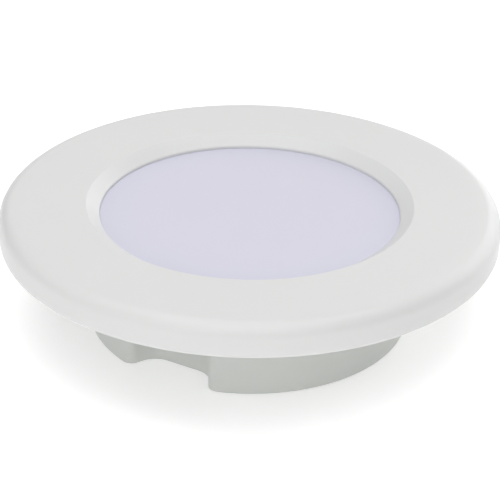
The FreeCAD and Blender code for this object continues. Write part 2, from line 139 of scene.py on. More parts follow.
def prismOf(outline, low, high, edge=0.0):
    # upright prism with its top and bottom edges taken down by edge
    levels = [(0.0, low), (0.0, high)]
    if edge:
        levels = [(edge, low), (0.0, low + edge), (0.0, high - edge), (edge, high)]
    middle = sum((Vector(p) for p in outline), Vector((0, 0))) / len(outline)
    rings = []
    for inset, z in levels:
        ring = []
        for p in outline:
            away = Vector(p) - middle
            place = middle + away * max(0.0, 1 - inset / max(away.length, weldGap))
            ring.append((place.x, place.y, z))
        rings.append(ring)
    return skinned(rings)


def circleOutline(radius, count):
    return [Vector((radius * math.cos(a), radius * math.sin(a))) for a in fullTurn(count)]


def boxOutline(x, y, length, width, rounding=0.0):
    left, right, near, far = x - length / 2, x + length / 2, y - width / 2, y + width / 2
    return roundedPath([(left, near, rounding), (right, near, rounding), (right, far, rounding),
                        (left, far, rounding)], 3)


def rodShape(radius, low, high, turns, edge=0.0):
    return prismOf(circleOutline(radius, turns), low, high, edge)


def boxShape(x, y, length, width, low, high, rounding=0.0, edge=0.0):
    return prismOf(boxOutline(x, y, length, width, rounding), low, high, edge)


def threadShape(radius, depth, pitch, low, high, turns=32, perPitch=8, tip=0.0):
    # rod with a helical thread: its radius rises and falls with height and angle; tip is a tapered lower end
    levels = math.ceil((high - low) / pitch * perPitch)
    slimmest = 0.45      # of the radius, at the tip
    rings = []
    for k in range(levels + 1):
        z = low + (high - low) * k / levels
        taper = min(1.0, slimmest + (1 - slimmest) * (z - low) / tip) if tip else 1.0
        ring = []
        for i, angle in enumerate(fullTurn(turns)):
            phase = (z / pitch - i / turns) % 1.0
            here = (radius - depth * abs(2 * phase - 1)) * taper
            ring.append((here * math.cos(angle), here * math.sin(angle), z))
        rings.append(ring)
    return skinned(rings)


def wireShape(points, radius, sides=14):
    # round wire along points, with flat ends
    rings = []
    for i, here in enumerate(points):
        ahead = (points[min(i + 1, len(points) - 1)] - points[max(i - 1, 0)]).normalized()
        across = Vector((1, 0, 0)) if abs(ahead.x) < 0.9 else Vector((0, 1, 0))
        upward = ahead.cross(across).normalized()
        across = upward.cross(ahead)
        rings.append([here + (across * math.cos(a) + upward * math.sin(a)) * radius for a in fullTurn(sides)])
    return skinned(rings)


def hexShape(acrossFlats, low, high, chamfer):
    # hexagon whose corners are turned down at both ends
    radius = acrossFlats / math.sqrt(3)
    fall = 0.6 * chamfer
    clear = radius + 0.01 * mm
    turnedBlank = [(0, low), (radius - chamfer, low), (clear, low + fall), (clear, high - fall),
                   (radius - chamfer, high), (0, high)]
    blank = meshObject("hexBlank", gathered([prismOf(circleOutline(radius, 6), low, high)]))
    return combine(blank, meshObject("hexTurned", lathed(turnedBlank, 96, longest=1)), "INTERSECT")


def tipped(made, axis, angle):
    # turns a shape about the origin
    turn = Quaternion(axis, angle).to_matrix()
    bmesh.ops.rotate(made, verts=made.verts, cent=(0, 0, 0), matrix=turn)
    return made


def moved(made, x=0.0, y=0.0, z=0.0, degrees=0.0):
    # turns a shape made at the origin, then moves it
    tipped(made, (0, 0, 1), math.radians(degrees))
    bmesh.ops.translate(made, verts=made.verts, vec=(x, y, z))
    return made


def placed(makeOne, places):
    # a fresh shape at each (x, y)
    return [moved(makeOne(), x, y) for x, y in places]


def turned(makeOne, angles):
    # a fresh shape at each angle, in degrees
    return [moved(makeOne(), degrees=angle) for angle in angles]


def gathered(shapes):
    # one bmesh of several; a shape may come with the number of its finish
    bm = bmesh.new()
    for entry in shapes:
        shape, finish = entry if isinstance(entry, tuple) else (entry, 0)
        places = [bm.verts.new(v.co) for v in shape.verts]
        shape.verts.index_update()
        for face in shape.faces:
            bm.faces.new([places[v.index] for v in face.verts]).material_index = finish
        shape.free()
    return bm


def withShapes(piece, operation, *shapes):
    return combine(piece, meshObject("tool", gathered(shapes)), operation)


def cleanUp(bm):
    bmesh.ops.remove_doubles(bm, verts=bm.verts, dist=weldGap)
    bmesh.ops.dissolve_degenerate(bm, edges=bm.edges, dist=weldGap)
    bmesh.ops.recalc_face_normals(bm, faces=bm.faces)


def sharpenEdges(mesh, degrees):
    bm = bmesh.new()
    bm.from_mesh(mesh)
    for face in bm.faces:
        face.smooth = True
    limit = math.radians(degrees)
    for edge in bm.edges:
        edge.smooth = len(edge.link_faces) == 2 and edge.calc_face_angle(0.0) < limit
    bm.to_mesh(mesh)
    bm.free()


def meshObject(name, bm):
    cleanUp(bm)
    mesh = bpy.data.meshes.new(name)
    bm.to_mesh(mesh)
    bm.free()
    piece = bpy.data.objects.new(name, mesh)
    bpy.context.scene.collection.objects.link(piece)
    return piece


def shapeOf(piece):
    # a cut piece as a loose shape again
    shape = bmesh.new()
    shape.from_mesh(piece.data)
    bpy.data.objects.remove(piece)
    return shape


def combine(piece, tool, operation):
    # exact boolean, applied at once; the tool goes
    modifier = piece.modifiers.new("combine", "BOOLEAN")
    modifier.solver = "EXACT"
    modifier.operation = operation
    modifier.object = tool
    graph = bpy.context.evaluated_depsgraph_get()
    result = bpy.data.meshes.new_from_object(piece.evaluated_get(graph))
    piece.modifiers.clear()
    old = piece.data
    piece.data = result
    bpy.data.meshes.remove(old)
    bpy.data.objects.remove(tool)
    return piece


def settle(piece, finishNames, body, nodes, angle=32):
    # finishes, body and CAD node of a piece made here
    sharpenEdges(piece.data, angle)
    for name in finishNames.split():
        piece.data.materials.append(finishes[name])
    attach(piece, body)
    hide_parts(*nodes)
    return piece


# finishes

def newFinish(name):
    material = bpy.data.materials.new(name)
    material.use_nodes = True
    tree = material.node_tree
    place = tree.nodes.new("ShaderNodeTexCoord").outputs["Object"]
    return material, tree, tree.nodes["Principled BSDF"].inputs, place


def noiseAt(tree, place, size, detail=3.0, rough=0.5):
    # noise whose features are about size across, in metres
    noise = tree.nodes.new("ShaderNodeTexNoise")
    noise.inputs["Scale"].default_value = 1 / size
    noise.inputs["Detail"].default_value = detail
    noise.inputs["Roughness"].default_value = rough
    tree.links.new(place, noise.inputs["Vector"])
    return noise.outputs["Fac"]


def spreadOver(tree, value, low, high, fromLow=0.3, fromHigh=0.7):
    spread = tree.nodes.new("ShaderNodeMapRange")
    ends = (("From Min", fromLow), ("From Max", fromHigh), ("To Min", low), ("To Max", high))
    for socket, number in ends:
        spread.inputs[socket].default_value = number
    tree.links.new(value, spread.inputs["Value"])
    return spread.outputs["Result"]


def colourBetween(tree, factor, first, second):
    # first is a colour or the socket of one
    mix = tree.nodes.new("ShaderNodeMix")
    mix.data_type = "RGBA"
    if isinstance(first, tuple):
        mix.inputs["A"].default_value = (*first, 1)
    else:
        tree.links.new(first, mix.inputs["A"])
    mix.inputs["B"].default_value = (*second, 1)
    tree.links.new(factor, mix.inputs["Factor"])
    return mix.outputs["Result"]


def bumpOf(tree, height, depth, after=None):
    bump = tree.nodes.new("ShaderNodeBump")
    bump.inputs["Distance"].default_value = depth
    bump.inputs["Strength"].default_value = 1
    tree.links.new(height, bump.inputs["Height"])
    if after is not None:
        tree.links.new(after, bump.inputs["Normal"])
    return bump.outputs["Normal"]


def mathOf(tree, operation, first, second=None):
    step = tree.nodes.new("ShaderNodeMath")
    step.operation = operation
    for socket, value in zip(step.inputs, (first, second)):
        if isinstance(value, (int, float)):
            socket.default_value = value
        elif value is not None:
            tree.links.new(value, socket)
    return step.outputs["Value"]


def radiusAt(tree, place):
    # distance from the light's axis, with the X and Y that it comes from
    split = tree.nodes.new("ShaderNodeSeparateXYZ")
    tree.links.new(place, split.inputs["Vector"])
    x, y = split.outputs["X"], split.outputs["Y"]
    squares = [mathOf(tree, "MULTIPLY", axis, axis) for axis in (x, y)]
    return mathOf(tree, "SQRT", mathOf(tree, "ADD", *squares)), x, y


def mouldedPlastic(name, colour, shade, roughness, grain, grainDepth, ripple, rippleDepth, subsurface):
    # smooth moulded plastic: faint ripple from the melt, fine grain, and gloss that varies a little
    material, tree, shader, place = newFinish(name)
    tone = noiseAt(tree, place, 40 * mm, 2.0)
    tree.links.new(colourBetween(tree, spreadOver(tree, tone, 0, 1), colour, shade), shader["Base Color"])
    gloss = noiseAt(tree, place, 9 * mm, 1.5)
    tree.links.new(spreadOver(tree, gloss, *roughness, 0.15, 0.85), shader["Roughness"])
    rippled = bumpOf(tree, noiseAt(tree, place, ripple, 1.0), rippleDepth)
    grained = bumpOf(tree, noiseAt(tree, place, grain, 2.0), grainDepth, after=rippled)
    tree.links.new(grained, shader["Normal"])
    shader["IOR"].default_value = 1.49
    if subsurface:
        shader["Subsurface Weight"].default_value = subsurface
        shader["Subsurface Scale"].default_value = 1.5 * mm
        shader["Subsurface Radius"].default_value = (1.0, 0.9, 0.8)
    return material


def plainMetal(name, colour, shade, roughness, grain, stretch, grainDepth):
    # metal with fine marks drawn out along one axis, and dull patches
    material, tree, shader, place = newFinish(name)
    stretched = tree.nodes.new("ShaderNodeMapping")
    stretched.inputs["Scale"].default_value = stretch
    tree.links.new(place, stretched.inputs["Vector"])
    marks = noiseAt(tree, stretched.outputs["Vector"], grain, 4.0)
    patches = noiseAt(tree, place, 6 * mm, 3.0)
    tree.links.new(colourBetween(tree, spreadOver(tree, patches, 0, 1), colour, shade), shader["Base Color"])
    tree.links.new(spreadOver(tree, marks, *roughness), shader["Roughness"])
    tree.links.new(bumpOf(tree, marks, grainDepth), shader["Normal"])
    shader["Metallic"].default_value = 1.0
    return material


def softRubber(name, colour, shade, roughness, grain, grainDepth, clear):
    # rubber or silicone: matt, with a powdery grain and a faint bloom
    material, tree, shader, place = newFinish(name)
    bloom = noiseAt(tree, place, 5 * mm, 4.0, 0.6)
    tree.links.new(colourBetween(tree, spreadOver(tree, bloom, 0, 1), colour, shade), shader["Base Color"])
    tree.links.new(spreadOver(tree, bloom, *roughness), shader["Roughness"])
    tree.links.new(bumpOf(tree, noiseAt(tree, place, grain, 2.0), grainDepth), shader["Normal"])
    shader["Sheen Weight"].default_value = 0.15
    shader["Sheen Roughness"].default_value = 0.5
    if clear:
        shader["Subsurface Weight"].default_value = clear
        shader["Subsurface Scale"].default_value = 1 * mm
    return material


def maskedBoard(name, mask, track, tracksAt, trackDepth):
    # solder mask over copper tracks, which stand a little proud and show lighter through it
    material, tree, shader, place = newFinish(name)
    tracks = tracksAt(tree, place)
    cloud = noiseAt(tree, place, 3 * mm, 3.0)
    mottled = colourBetween(tree, spreadOver(tree, cloud, 0, 1), mask, [c * 0.93 for c in mask])
    tree.links.new(colourBetween(tree, tracks, mottled, track), shader["Base Color"])
    tree.links.new(spreadOver(tree, cloud, 0.28, 0.4), shader["Roughness"])
    raised = bumpOf(tree, tracks, trackDepth)
    orange = bumpOf(tree, noiseAt(tree, place, 0.4 * mm, 1.0), 0.004 * mm, after=raised)
    tree.links.new(orange, shader["Normal"])
    return material


def ringTracks(tree, place):
    # a broad track under each ring of emitters, every 9 mm from the centre, broken between pairs
    radius, x, y = radiusAt(tree, place)
    spacing = 9 * mm
    shifted = mathOf(tree, "ADD", radius, spacing / 2)
    off = mathOf(tree, "SUBTRACT", mathOf(tree, "MODULO", shifted, spacing), spacing / 2)
    near = spreadOver(tree, mathOf(tree, "ABSOLUTE", off), 1.0, 0.0, 2.3 * mm, 2.45 * mm)
    turn = mathOf(tree, "ARCTAN2", y, x)
    gap = mathOf(tree, "ABSOLUTE", mathOf(tree, "SINE", mathOf(tree, "MULTIPLY", turn, 9.0)))
    return mathOf(tree, "MULTIPLY", near, spreadOver(tree, gap, 0.0, 1.0, 0.05, 0.09))


def squareTracks(tree, place):
    # right-angled tracks: the walls between square cells
    cells = tree.nodes.new("ShaderNodeTexVoronoi")
    cells.feature = "F1"
    cells.distance = "CHEBYCHEV"
    cells.inputs["Scale"].default_value = 1 / (3.2 * mm)
    tree.links.new(place, cells.inputs["Vector"])
    return spreadOver(tree, cells.outputs["Distance"], 1.0, 0.0, 0.30, 0.34)


def paintedRimShade(material, start, end, paintedShadeColour):
    # painted shade: the opal lens colour turns greyer and bluer towards its rim, standing in for the shade
    # that the ring's recess casts there
    tree = material.node_tree
    base = tree.nodes["Principled BSDF"].inputs["Base Color"]
    radius = radiusAt(tree, tree.nodes["Texture Coordinate"].outputs["Object"])[0]
    near = mathOf(tree, "POWER", spreadOver(tree, radius, 0.0, 1.0, start, end), 2.2)
    tree.links.new(colourBetween(tree, near, base.links[0].from_socket, paintedShadeColour), base)


finishDesign = {
    # colour, second colour, roughness, then grain, its depth, ripple and its depth in mm, and subsurface
    "plastics": {
        "ringPlastic": ((0.70, 0.70, 0.697), (0.69, 0.691, 0.69), (0.34, 0.42), 0.35, 0.004, 14, 0.02, 0.08),
        "housingPlastic": ((0.668, 0.68, 0.655), (0.655, 0.668, 0.645), (0.36, 0.46),
            0.3, 0.008, 12, 0.02, 0.05),
        "opalPlastic": ((0.645, 0.632, 0.722), (0.638, 0.626, 0.716), (0.40, 0.48),
            0.25, 0.003, 20, 0.01, 0.25),
        "bracketPlastic": ((0.66, 0.665, 0.65), (0.64, 0.648, 0.634), (0.38, 0.5), 0.3, 0.01, 10, 0.02, 0.05),
        "glandPlastic": ((0.52, 0.53, 0.52), (0.49, 0.50, 0.49), (0.4, 0.52), 0.25, 0.012, 6, 0.02, 0.1),
        "terminalPlastic": ((0.03, 0.13, 0.36), (0.025, 0.115, 0.33), (0.25, 0.36),
            0.2, 0.006, 3, 0.01, 0.05),
        "plugPlastic": ((0.70, 0.66, 0.54), (0.67, 0.63, 0.50), (0.35, 0.45), 0.2, 0.008, 3, 0.01, 0.15),
        "packagePlastic": ((0.84, 0.84, 0.81), (0.80, 0.80, 0.77), (0.3, 0.4), 0.1, 0.003, 1, 0.004, 0.1),
        "basePlastic": ((0.03, 0.03, 0.032), (0.045, 0.045, 0.045), (0.35, 0.5), 0.15, 0.008, 2, 0.01, 0),
        "chipEpoxy": ((0.022, 0.022, 0.024), (0.035, 0.035, 0.036), (0.5, 0.68), 0.08, 0.012, 1, 0.004, 0),
        "ferriteBlack": ((0.06, 0.06, 0.065), (0.10, 0.098, 0.10), (0.45, 0.65), 0.12, 0.02, 1, 0.01, 0),
        "ceramicWhite": ((0.72, 0.71, 0.68), (0.66, 0.65, 0.62), (0.5, 0.6), 0.1, 0.006, 1, 0.004, 0),
        "redInsulation": ((0.48, 0.02, 0.016), (0.42, 0.016, 0.013), (0.32, 0.45),
            0.15, 0.006, 4, 0.01, 0.05),
        "blackInsulation": ((0.016, 0.016, 0.017), (0.024, 0.024, 0.025), (0.32, 0.45),
            0.15, 0.006, 4, 0.01, 0),
        "pottingResin": ((0.045, 0.046, 0.05), (0.06, 0.061, 0.064), (0.12, 0.3), 0.6, 0.006, 16, 0.12, 0),
        "phosphor": ((0.82, 0.60, 0.06), (0.76, 0.52, 0.04), (0.2, 0.35), 0.06, 0.01, 0.8, 0.01, 0.3),
    },
    # colour, second colour, roughness, marks in mm, their stretch, and their depth in mm
    "metals": {
        "stainless": ((0.60, 0.59, 0.57), (0.54, 0.53, 0.52), (0.24, 0.4), 0.3, (1, 1, 4), 0.004),
        "millAluminium": ((0.74, 0.75, 0.76), (0.68, 0.69, 0.71), (0.3, 0.48), 0.5, (0.06, 1, 1), 0.006),
        "canAluminium": ((0.76, 0.77, 0.78), (0.72, 0.73, 0.74), (0.18, 0.3), 0.2, (1, 1, 0.1), 0.002),
        "tinned": ((0.70, 0.70, 0.69), (0.60, 0.60, 0.60), (0.28, 0.45), 0.15, (1, 1, 1), 0.006),
        "copperWire": ((0.62, 0.24, 0.10), (0.52, 0.18, 0.07), (0.22, 0.35), 0.2, (1, 1, 1), 0.003),
    },
    # colour, second colour, roughness, grain and its depth in mm, and subsurface
    "rubbers": {
        "clearSilicone": ((0.58, 0.58, 0.55), (0.54, 0.54, 0.52), (0.4, 0.52), 0.2, 0.01, 0.4),
        "blackRubber": ((0.022, 0.022, 0.022), (0.035, 0.035, 0.035), (0.62, 0.8), 0.15, 0.02, 0),
        "padSilicone": ((0.27, 0.33, 0.42), (0.24, 0.30, 0.39), (0.6, 0.75), 0.3, 0.02, 0),
    },
    # mask colour, track colour, pattern, and how proud the tracks stand in mm
    "boards": {
        "emitterBoard": ((0.80, 0.80, 0.77), (0.86, 0.85, 0.80), ringTracks, 0.05),
        "driverBoardMask": ((0.010, 0.075, 0.030), (0.025, 0.17, 0.065), squareTracks, 0.04),
    },
    # painted shade on the lens: the radius where the darkening starts, the radius where it is full, and the
    # shade colour
    "lensRimPaintedShade": (26 * mm, 45.5 * mm, (0.60, 0.602, 0.70)),
}


def makeFinishes(d):
    made = {}
    for name, (colour, shade, roughness, *sizes, inside) in d["plastics"].items():
        made[name] = mouldedPlastic(name, colour, shade, roughness, *[size * mm for size in sizes], inside)
    for name, (colour, shade, roughness, grain, stretch, depth) in d["metals"].items():
        made[name] = plainMetal(name, colour, shade, roughness, grain * mm, stretch, depth * mm)
    for name, (colour, shade, roughness, grain, depth, inside) in d["rubbers"].items():
        made[name] = softRubber(name, colour, shade, roughness, grain * mm, depth * mm, inside)
    for name, (mask, track, pattern, depth) in d["boards"].items():
        made[name] = maskedBoard(name, mask, track, pattern, depth * mm)
    # the lens gets painted shade towards its rim
    paintedRimShade(made["opalPlastic"], *d["lensRimPaintedShade"])
    return made


finishes = makeFinishes(finishDesign)
print("finishes made")


# face ring

ringDesign = {
    "lip": 45.05 * mm, "lipWidth": 2.4 * mm, "bevelOut": 49.1 * mm, "bevelDrop": 2.9 * mm, "wall": 2.4 * mm,
    "edgeRound": 4.3 * mm, "backRound": 1.5 * mm, "bevelRound": 0.5 * mm, "stepRound": 0.9 * mm,
    "lipRound": 0.08 * mm, "lipBackRound": 0.15 * mm, "grooveRound": 0.2 * mm, "hollowRound": 0.3 * mm,
    "rootRound": 1.9 * mm, "footRound": 0.5 * mm, "clamp": (49.6 * mm, 51.6 * mm),
    "boss": (3.4 * mm, 3.0 * mm, 1.5 * mm), "ribs": 24, "rib": (67.2 * mm, 1.2 * mm, 4.4 * mm), "turns": 288,
}


def makeFaceRing(d):
    top, back, under = frontHeight, ringLow.z, frontHeight - d["wall"]
    window, outer = lensHigh.z, faceRadius - d["wall"]
    clampIn, clampOut = d["clamp"]
    lipOut = d["lip"] + d["lipWidth"]
    groove, hollow = d["grooveRound"], d["hollowRound"]
    ring = meshObject("face_ring_trim", lathed([
        (d["lip"], window, d["lipRound"]), (lipOut, window, d["lipBackRound"]), (lipOut, under, hollow),
        (clampIn, under, groove), (clampIn, window, groove), (clampOut, window, groove),
        (clampOut, under, hollow), (outer, under, d["rootRound"]), (outer, back, d["footRound"]),
        (faceRadius, back, d["backRound"]), (faceRadius, top, d["edgeRound"]),
        (d["bevelOut"], top, d["bevelRound"]), (d["lip"], top - d["bevelDrop"], d["stepRound"]),
    ], d["turns"], 8, 4 * mm))
    radius, tall, hole = d["boss"]
    sunk = 0.5 * mm      # how far bosses and ribs reach into the wall
    boss = [(hole, under - tall), (radius, under - tall, groove), (radius, under + sunk), (hole, under + sunk)]
    bosses = placed(lambda: lathed(boss, 40), screwPlaces["ring"])
    ribIn, wide, ribTall = d["rib"]
    ribOut = outer + sunk
    ribs = turned(
        lambda: boxShape((ribIn + ribOut) / 2, 0, ribOut - ribIn, wide, under - ribTall, under + 0.3 * mm,
                         0.3 * mm, 0.1 * mm),
        [360 * (i + 0.5) / d["ribs"] for i in range(d["ribs"])],
    )
    withShapes(ring, "UNION", *bosses, *ribs)
    return settle(ring, "ringPlastic", "lamp", ["face_ring"])


makeFaceRing(ringDesign)
print("face ring made")


# lens

lensDesign = {"edgeRound": 0.4 * mm, "turns": 240}


def makeLens(d):
    radius, rounding = lensHigh.x, d["edgeRound"]
    disc = lathed([(0, lensLow.z), (radius, lensLow.z, rounding), (radius, lensHigh.z, rounding),
                   (0, lensHigh.z)], d["turns"], 5)
    return settle(meshObject("opal_lens", disc), "opalPlastic", "lamp", ["lens"])


makeLens(lensDesign)
print("lens made")


# lamp housing

hubDesign = {
    "radius": 48.6 * mm, "wall": 2.8 * mm, "rim": 0.5 * mm, "rimRound": 0.4 * mm, "fillet": 0.8 * mm,
    "notchFloor": 38.8 * mm, "notchHalf": 9.5 * mm, "notchFlare": 26.0, "notchTop": 20.0 * mm,
    "notchIn": 6.5 * mm, "notchOut": 3.2 * mm, "floor": (10.8 * mm, 13.2 * mm), "gland": 8.0 * mm,
    "floorRings": (20 * mm, 31 * mm), "wallHeights": (5 * mm, 10 * mm, 15 * mm), "cavityHeight": 18 * mm,
    "seat": (27.6 * mm, 30.2 * mm), "pocket": (54.5 * mm, 57.0 * mm),
    "flange": (66.5 * mm, 29.9 * mm, 32.9 * mm), "arcSteps": 200, "notchSteps": 10,
    "gusset": (40.2 * mm, 46.4 * mm, 1.5 * mm, 4.5 * mm), "gussetAngles": range(-30, 211, 30),
    "standoff": (2.6 * mm, 1.0 * mm, 15.2 * mm), "screwHole": 1.5 * mm,
}


def hubOutline(d, inset, notched):
    # outline of the hub moved inwards by inset; if not notched, its points stand over the notch's points
    flare = math.radians(d["notchFlare"])
    radius = d["radius"] - inset
    floorY = -(d["notchFloor"] - inset)
    half = d["notchHalf"] + inset / math.cos(flare) - inset * math.tan(flare)
    rounding = d["notchIn"] + inset
    outRound = max(0.4 * mm, d["notchOut"] - inset)
    direction = Vector((math.sin(flare), -math.cos(flare)))
    inside = Vector((math.cos(flare), math.sin(flare)))
    # centre of the mouth's rounding: outRound from the wall and radius - outRound from the axis
    start = Vector((half, floorY)) + inside * outRound
    ahead = start.dot(direction)
    reach = math.sqrt(ahead ** 2 - start.length_squared + (radius - outRound) ** 2) - ahead
    centre = start + direction * reach
    inner = Vector((half - rounding / math.tan((math.pi / 2 + flare) / 2), floorY - rounding))
    steps = d["notchSteps"]

    def arcPoints(middle, reach, first, sweep):
        angles = [first + sweep * step / steps for step in range(steps + 1)]
        return [middle + Vector((math.cos(a), math.sin(a))) * reach for a in angles]

    side = arcPoints(inner, rounding, math.pi / 2, flare - math.pi / 2)
    wallStart, wallEnd = side[-1], centre - inside * outRound
    side += [wallStart.lerp(wallEnd, part / 4) for part in range(1, 4)]
    first = math.atan2(-inside.y, -inside.x)
    sweep = (math.atan2(centre.y, centre.x) - first) % (2 * math.pi)
    side += arcPoints(centre, outRound, first, sweep)
    left = [Vector((-p.x, p.y)) for p in reversed(side)]
    notch = left + [left[-1].lerp(side[0], part / 4) for part in range(1, 4)] + side
    if not notched:
        notch = [p.normalized() * radius for p in notch]
    startAngle = math.atan2(side[-1].y, side[-1].x)
    rest = math.pi - 2 * startAngle
    angles = [startAngle + rest * step / d["arcSteps"] for step in range(1, d["arcSteps"])]
    return notch + [Vector((math.cos(a), math.sin(a))) * radius for a in angles]


def makeHousing(d):
    wall, rim, rimRound, fillet = d["wall"], d["rim"], d["rimRound"], d["fillet"]
    floorLow, floorHigh = d["floor"]
    levels = []          # each is a closed ring of points, from the gland's hole round the section and back

    def plain(radius, z):
        levels.append([(*(p.normalized() * radius), z) for p in hubOutline(d, 0.0, False)])

    def shaped(inset, z, notched=True):
        levels.append([(p.x, p.y, z) for p in hubOutline(d, inset, notched)])

    quarter = [(1 - math.sin(a), 1 - math.cos(a)) for a in (math.pi / 2 * step / 4 for step in range(5))]
    plain(d["gland"], floorHigh)
    plain(d["gland"], floorLow)
    for radius in d["floorRings"]:
        plain(radius, floorLow)
    for rise, run in quarter:
        shaped(wall + fillet * rise, floorLow - fillet * run)
    shaped(wall, d["wallHeights"][0])
    for rise, run in quarter:
        shaped(wall - rimRound * run, rim + rimRound * rise)
    for rise, run in quarter:
        shaped(rimRound * rise, rim + rimRound * run)
    for z in (*d["wallHeights"], d["notchTop"]):
        shaped(0.0, z)
    shaped(0.0, d["notchTop"], False)
    seatLow, seatHigh = d["seat"]
    pocketIn, pocketOut = d["pocket"]
    cavity = d["radius"] - wall
    flangeRadius, flangeLow, flangeHigh = d["flange"]
    upper = roundedPath([
        (d["radius"], d["notchTop"]), (d["radius"], seatLow, 1.2 * mm), (pocketOut, seatLow, 1.0 * mm),
        (pocketOut, flangeLow, 0.8 * mm), (flangeRadius, flangeLow, 0.5 * mm),
        (flangeRadius, flangeHigh, 0.5 * mm), (pocketIn, flangeHigh, 0.5 * mm), (pocketIn, seatHigh, 0.2 * mm),
        (cavity, seatHigh, 0.4 * mm), (cavity, d["notchTop"] + wall),
    ], 4)
    for p in upper[1:]:
        plain(*p)
    for z in (d["notchTop"] + wall, d["cavityHeight"], floorHigh):
        shaped(wall, z)
    for radius in reversed(d["floorRings"]):
        plain(radius, floorHigh)
    hub = meshObject("hub_and_flange", skinned(levels, looped=True))
    inner, outer, thick, low = d["gusset"]
    gussets = turned(
        lambda: boxShape((inner + outer) / 2, 0, outer - inner, thick, low, floorLow + 0.3 * mm, 0.3 * mm,
                         0.15 * mm),
        d["gussetAngles"],
    )
    radius, hole, top = d["standoff"]
    foot = floorHigh - 0.4 * mm
    post = [(hole, foot), (radius, foot), (radius, top, 0.2 * mm), (hole, top)]
    withShapes(hub, "UNION", *gussets, *placed(lambda: lathed(post, 36), screwPlaces["driver"]))
    holes = placed(lambda: rodShape(d["screwHole"], flangeLow - mm, flangeHigh + mm, 32), screwPlaces["ring"])
    withShapes(hub, "DIFFERENCE", *holes)
    return settle(hub, "housingPlastic", "lamp", ["lamp_housing"])


makeHousing(hubDesign)
print("lamp housing made")


# lens seal

sealDesign = {"inner": 47.8 * mm, "grooves": 3, "grooveDeep": 0.22 * mm, "turns": 200}


def makeLensSeal(d):
    low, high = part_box("lens_seal")
    inner, outer = d["inner"], high.x
    step = (outer - inner) / (2 * d["grooves"] + 1)
    under = [(inner, low.z, 0.25 * mm)]
    for i in range(d["grooves"]):
        start = inner + step * (2 * i + 1)
        for share, deep in ((0, 0), (0.3, d["grooveDeep"]), (0.7, d["grooveDeep"]), (1, 0)):
            under.append((start + step * share, low.z + deep, 0.08 * mm))
    under.append((outer, low.z, 0.25 * mm))
    above = [(r, low.z + high.z - z, rounding) for r, z, rounding in reversed(under)]
    seal = meshObject("lens_gasket", lathed(under + above, d["turns"], 3))
    return settle(seal, "clearSilicone", "lamp", ["lens_seal"])


makeLensSeal(sealDesign)
print("lens seal made")


# screws

screwDesign = {
    "turns": 40, "recess": (0.55, 0.11, 0.6), "recessSteps": ((1.0, 1.0), (1.35, 0.62)), "threadDepth": 0.16,
    "turnEach": 37, "places": screwPlaces,
    "kinds": {
        # node, places, shank and head radius, head height, length, plain part, pitch, seat, side of the head
        "ring_screws": ("face_ring_screws", "ring", 1.5, 2.6, 1.45, 6.6, 2.9, 0.9, 29.9, -1),
        "emitter_board_screws": ("led_board_screws", "posts", 1.25, 2.4, 1.5, 9.0, 2.8, 0.8, 26.4, 1),
        "driver_screws": ("driver_board_screws", "driver", 1.0, 1.9, 1.2, 4.6, 1.6, 0.7, 16.8, 1),
    },
}


def makeScrews(d, name):
    node, where, *sizes, side = d["kinds"][name]
    shank, headRadius, headTall, length, plain, pitch, seat = (size * mm for size in sizes)
    depth = d["threadDepth"] * shank
    head = [(0, 0), (headRadius, 0, 0.1 * mm), (headRadius, headTall, headTall * 0.55), (0, headTall)]
    screw = meshObject("screw", lathed(head, d["turns"], 6, 1))
    half, wide, deep = (part * headRadius for part in d["recess"])
    for x, y in ((1, 0), (0, 1)):
        for down, grow in d["recessSteps"]:
            bottom = headTall - deep * down * headTall / headRadius
            slot = boxShape(0, 0, 2 * grow * (half * x + wide * y), 2 * grow * (half * y + wide * x), bottom,
                            headTall * 1.3, 0.05 * mm)
            withShapes(screw, "DIFFERENCE", slot)
    withShapes(screw, "UNION", rodShape(shank - depth, -plain, 0.2 * mm, 32))
    withShapes(screw, "UNION", threadShape(shank, depth, pitch, -length, -plain + 0.3 * mm, tip=1.3 * shank))
    one = screw.data
    bpy.data.objects.remove(screw)
    shapes = []
    for i, (x, y) in enumerate(d["places"][where]):
        shape = bmesh.new()
        shape.from_mesh(one)
        moved(shape, degrees=d["turnEach"] * i)
        if side < 0:
            tipped(shape, (1, 0, 0), math.pi)
        shapes.append(moved(shape, x, y, seat))
    screws = meshObject(name, gathered(shapes))
    return settle(screws, "stainless", "lamp", [node], 38)


for screwName in screwDesign["kinds"]:
    makeScrews(screwDesign, screwName)
print("screws made")


# layers of the light engine

layerDesign = {
    "screwHole": 1.5 * mm, "leadHole": (38 * mm, 3.0 * mm), "turns": 160,
    "layers": (
        # name, node, edge rounding, finish, slot
        ("heat_plate", "heat_spreader", 0.25 * mm, "millAluminium", "aluminium_plate"),
        ("thermal_sheet", "thermal_pad", 0.06 * mm, "padSilicone", "pad_silicone"),
        ("emitter_board", "led_board", 0.1 * mm, "emitterBoard", "led_board_mask"),
    ),
}


def makeLayers(d):
    for name, node, edge, finish, slotName in d["layers"]:
        low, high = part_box(node)
        radius, bottom, top = high.x, low.z - mm, high.z + mm
        section = [(0, low.z), (radius, low.z, edge), (radius, high.z, edge), (0, high.z)]
        plate = meshObject(name, lathed(section, d["turns"], 3, 6 * mm))
        holes = placed(lambda: rodShape(d["screwHole"], bottom, top, 32), screwPlaces["posts"])
        leadY, leadRadius = d["leadHole"]
        holes.append(moved(rodShape(leadRadius, bottom, top, 48), 0, leadY))
        withShapes(plate, "DIFFERENCE", *holes)
        settle(plate, finish, "lamp", [node])


makeLayers(layerDesign)
print("light engine layers made")


# emitters

emitterDesign = {
    "size": (3.5 * mm, 2.8 * mm, 0.7 * mm), "window": 1.0 * mm, "windowFloor": 0.86 * mm,
    "windowDeep": 0.2 * mm, "tab": (0.5 * mm, 2.0 * mm, 0.16 * mm), "gap": 0.05 * mm,
    "rings": ((9, 6), (18, 12), (27, 18), (36, 24)), "leftOut": (36, 90),    # radius in mm
}


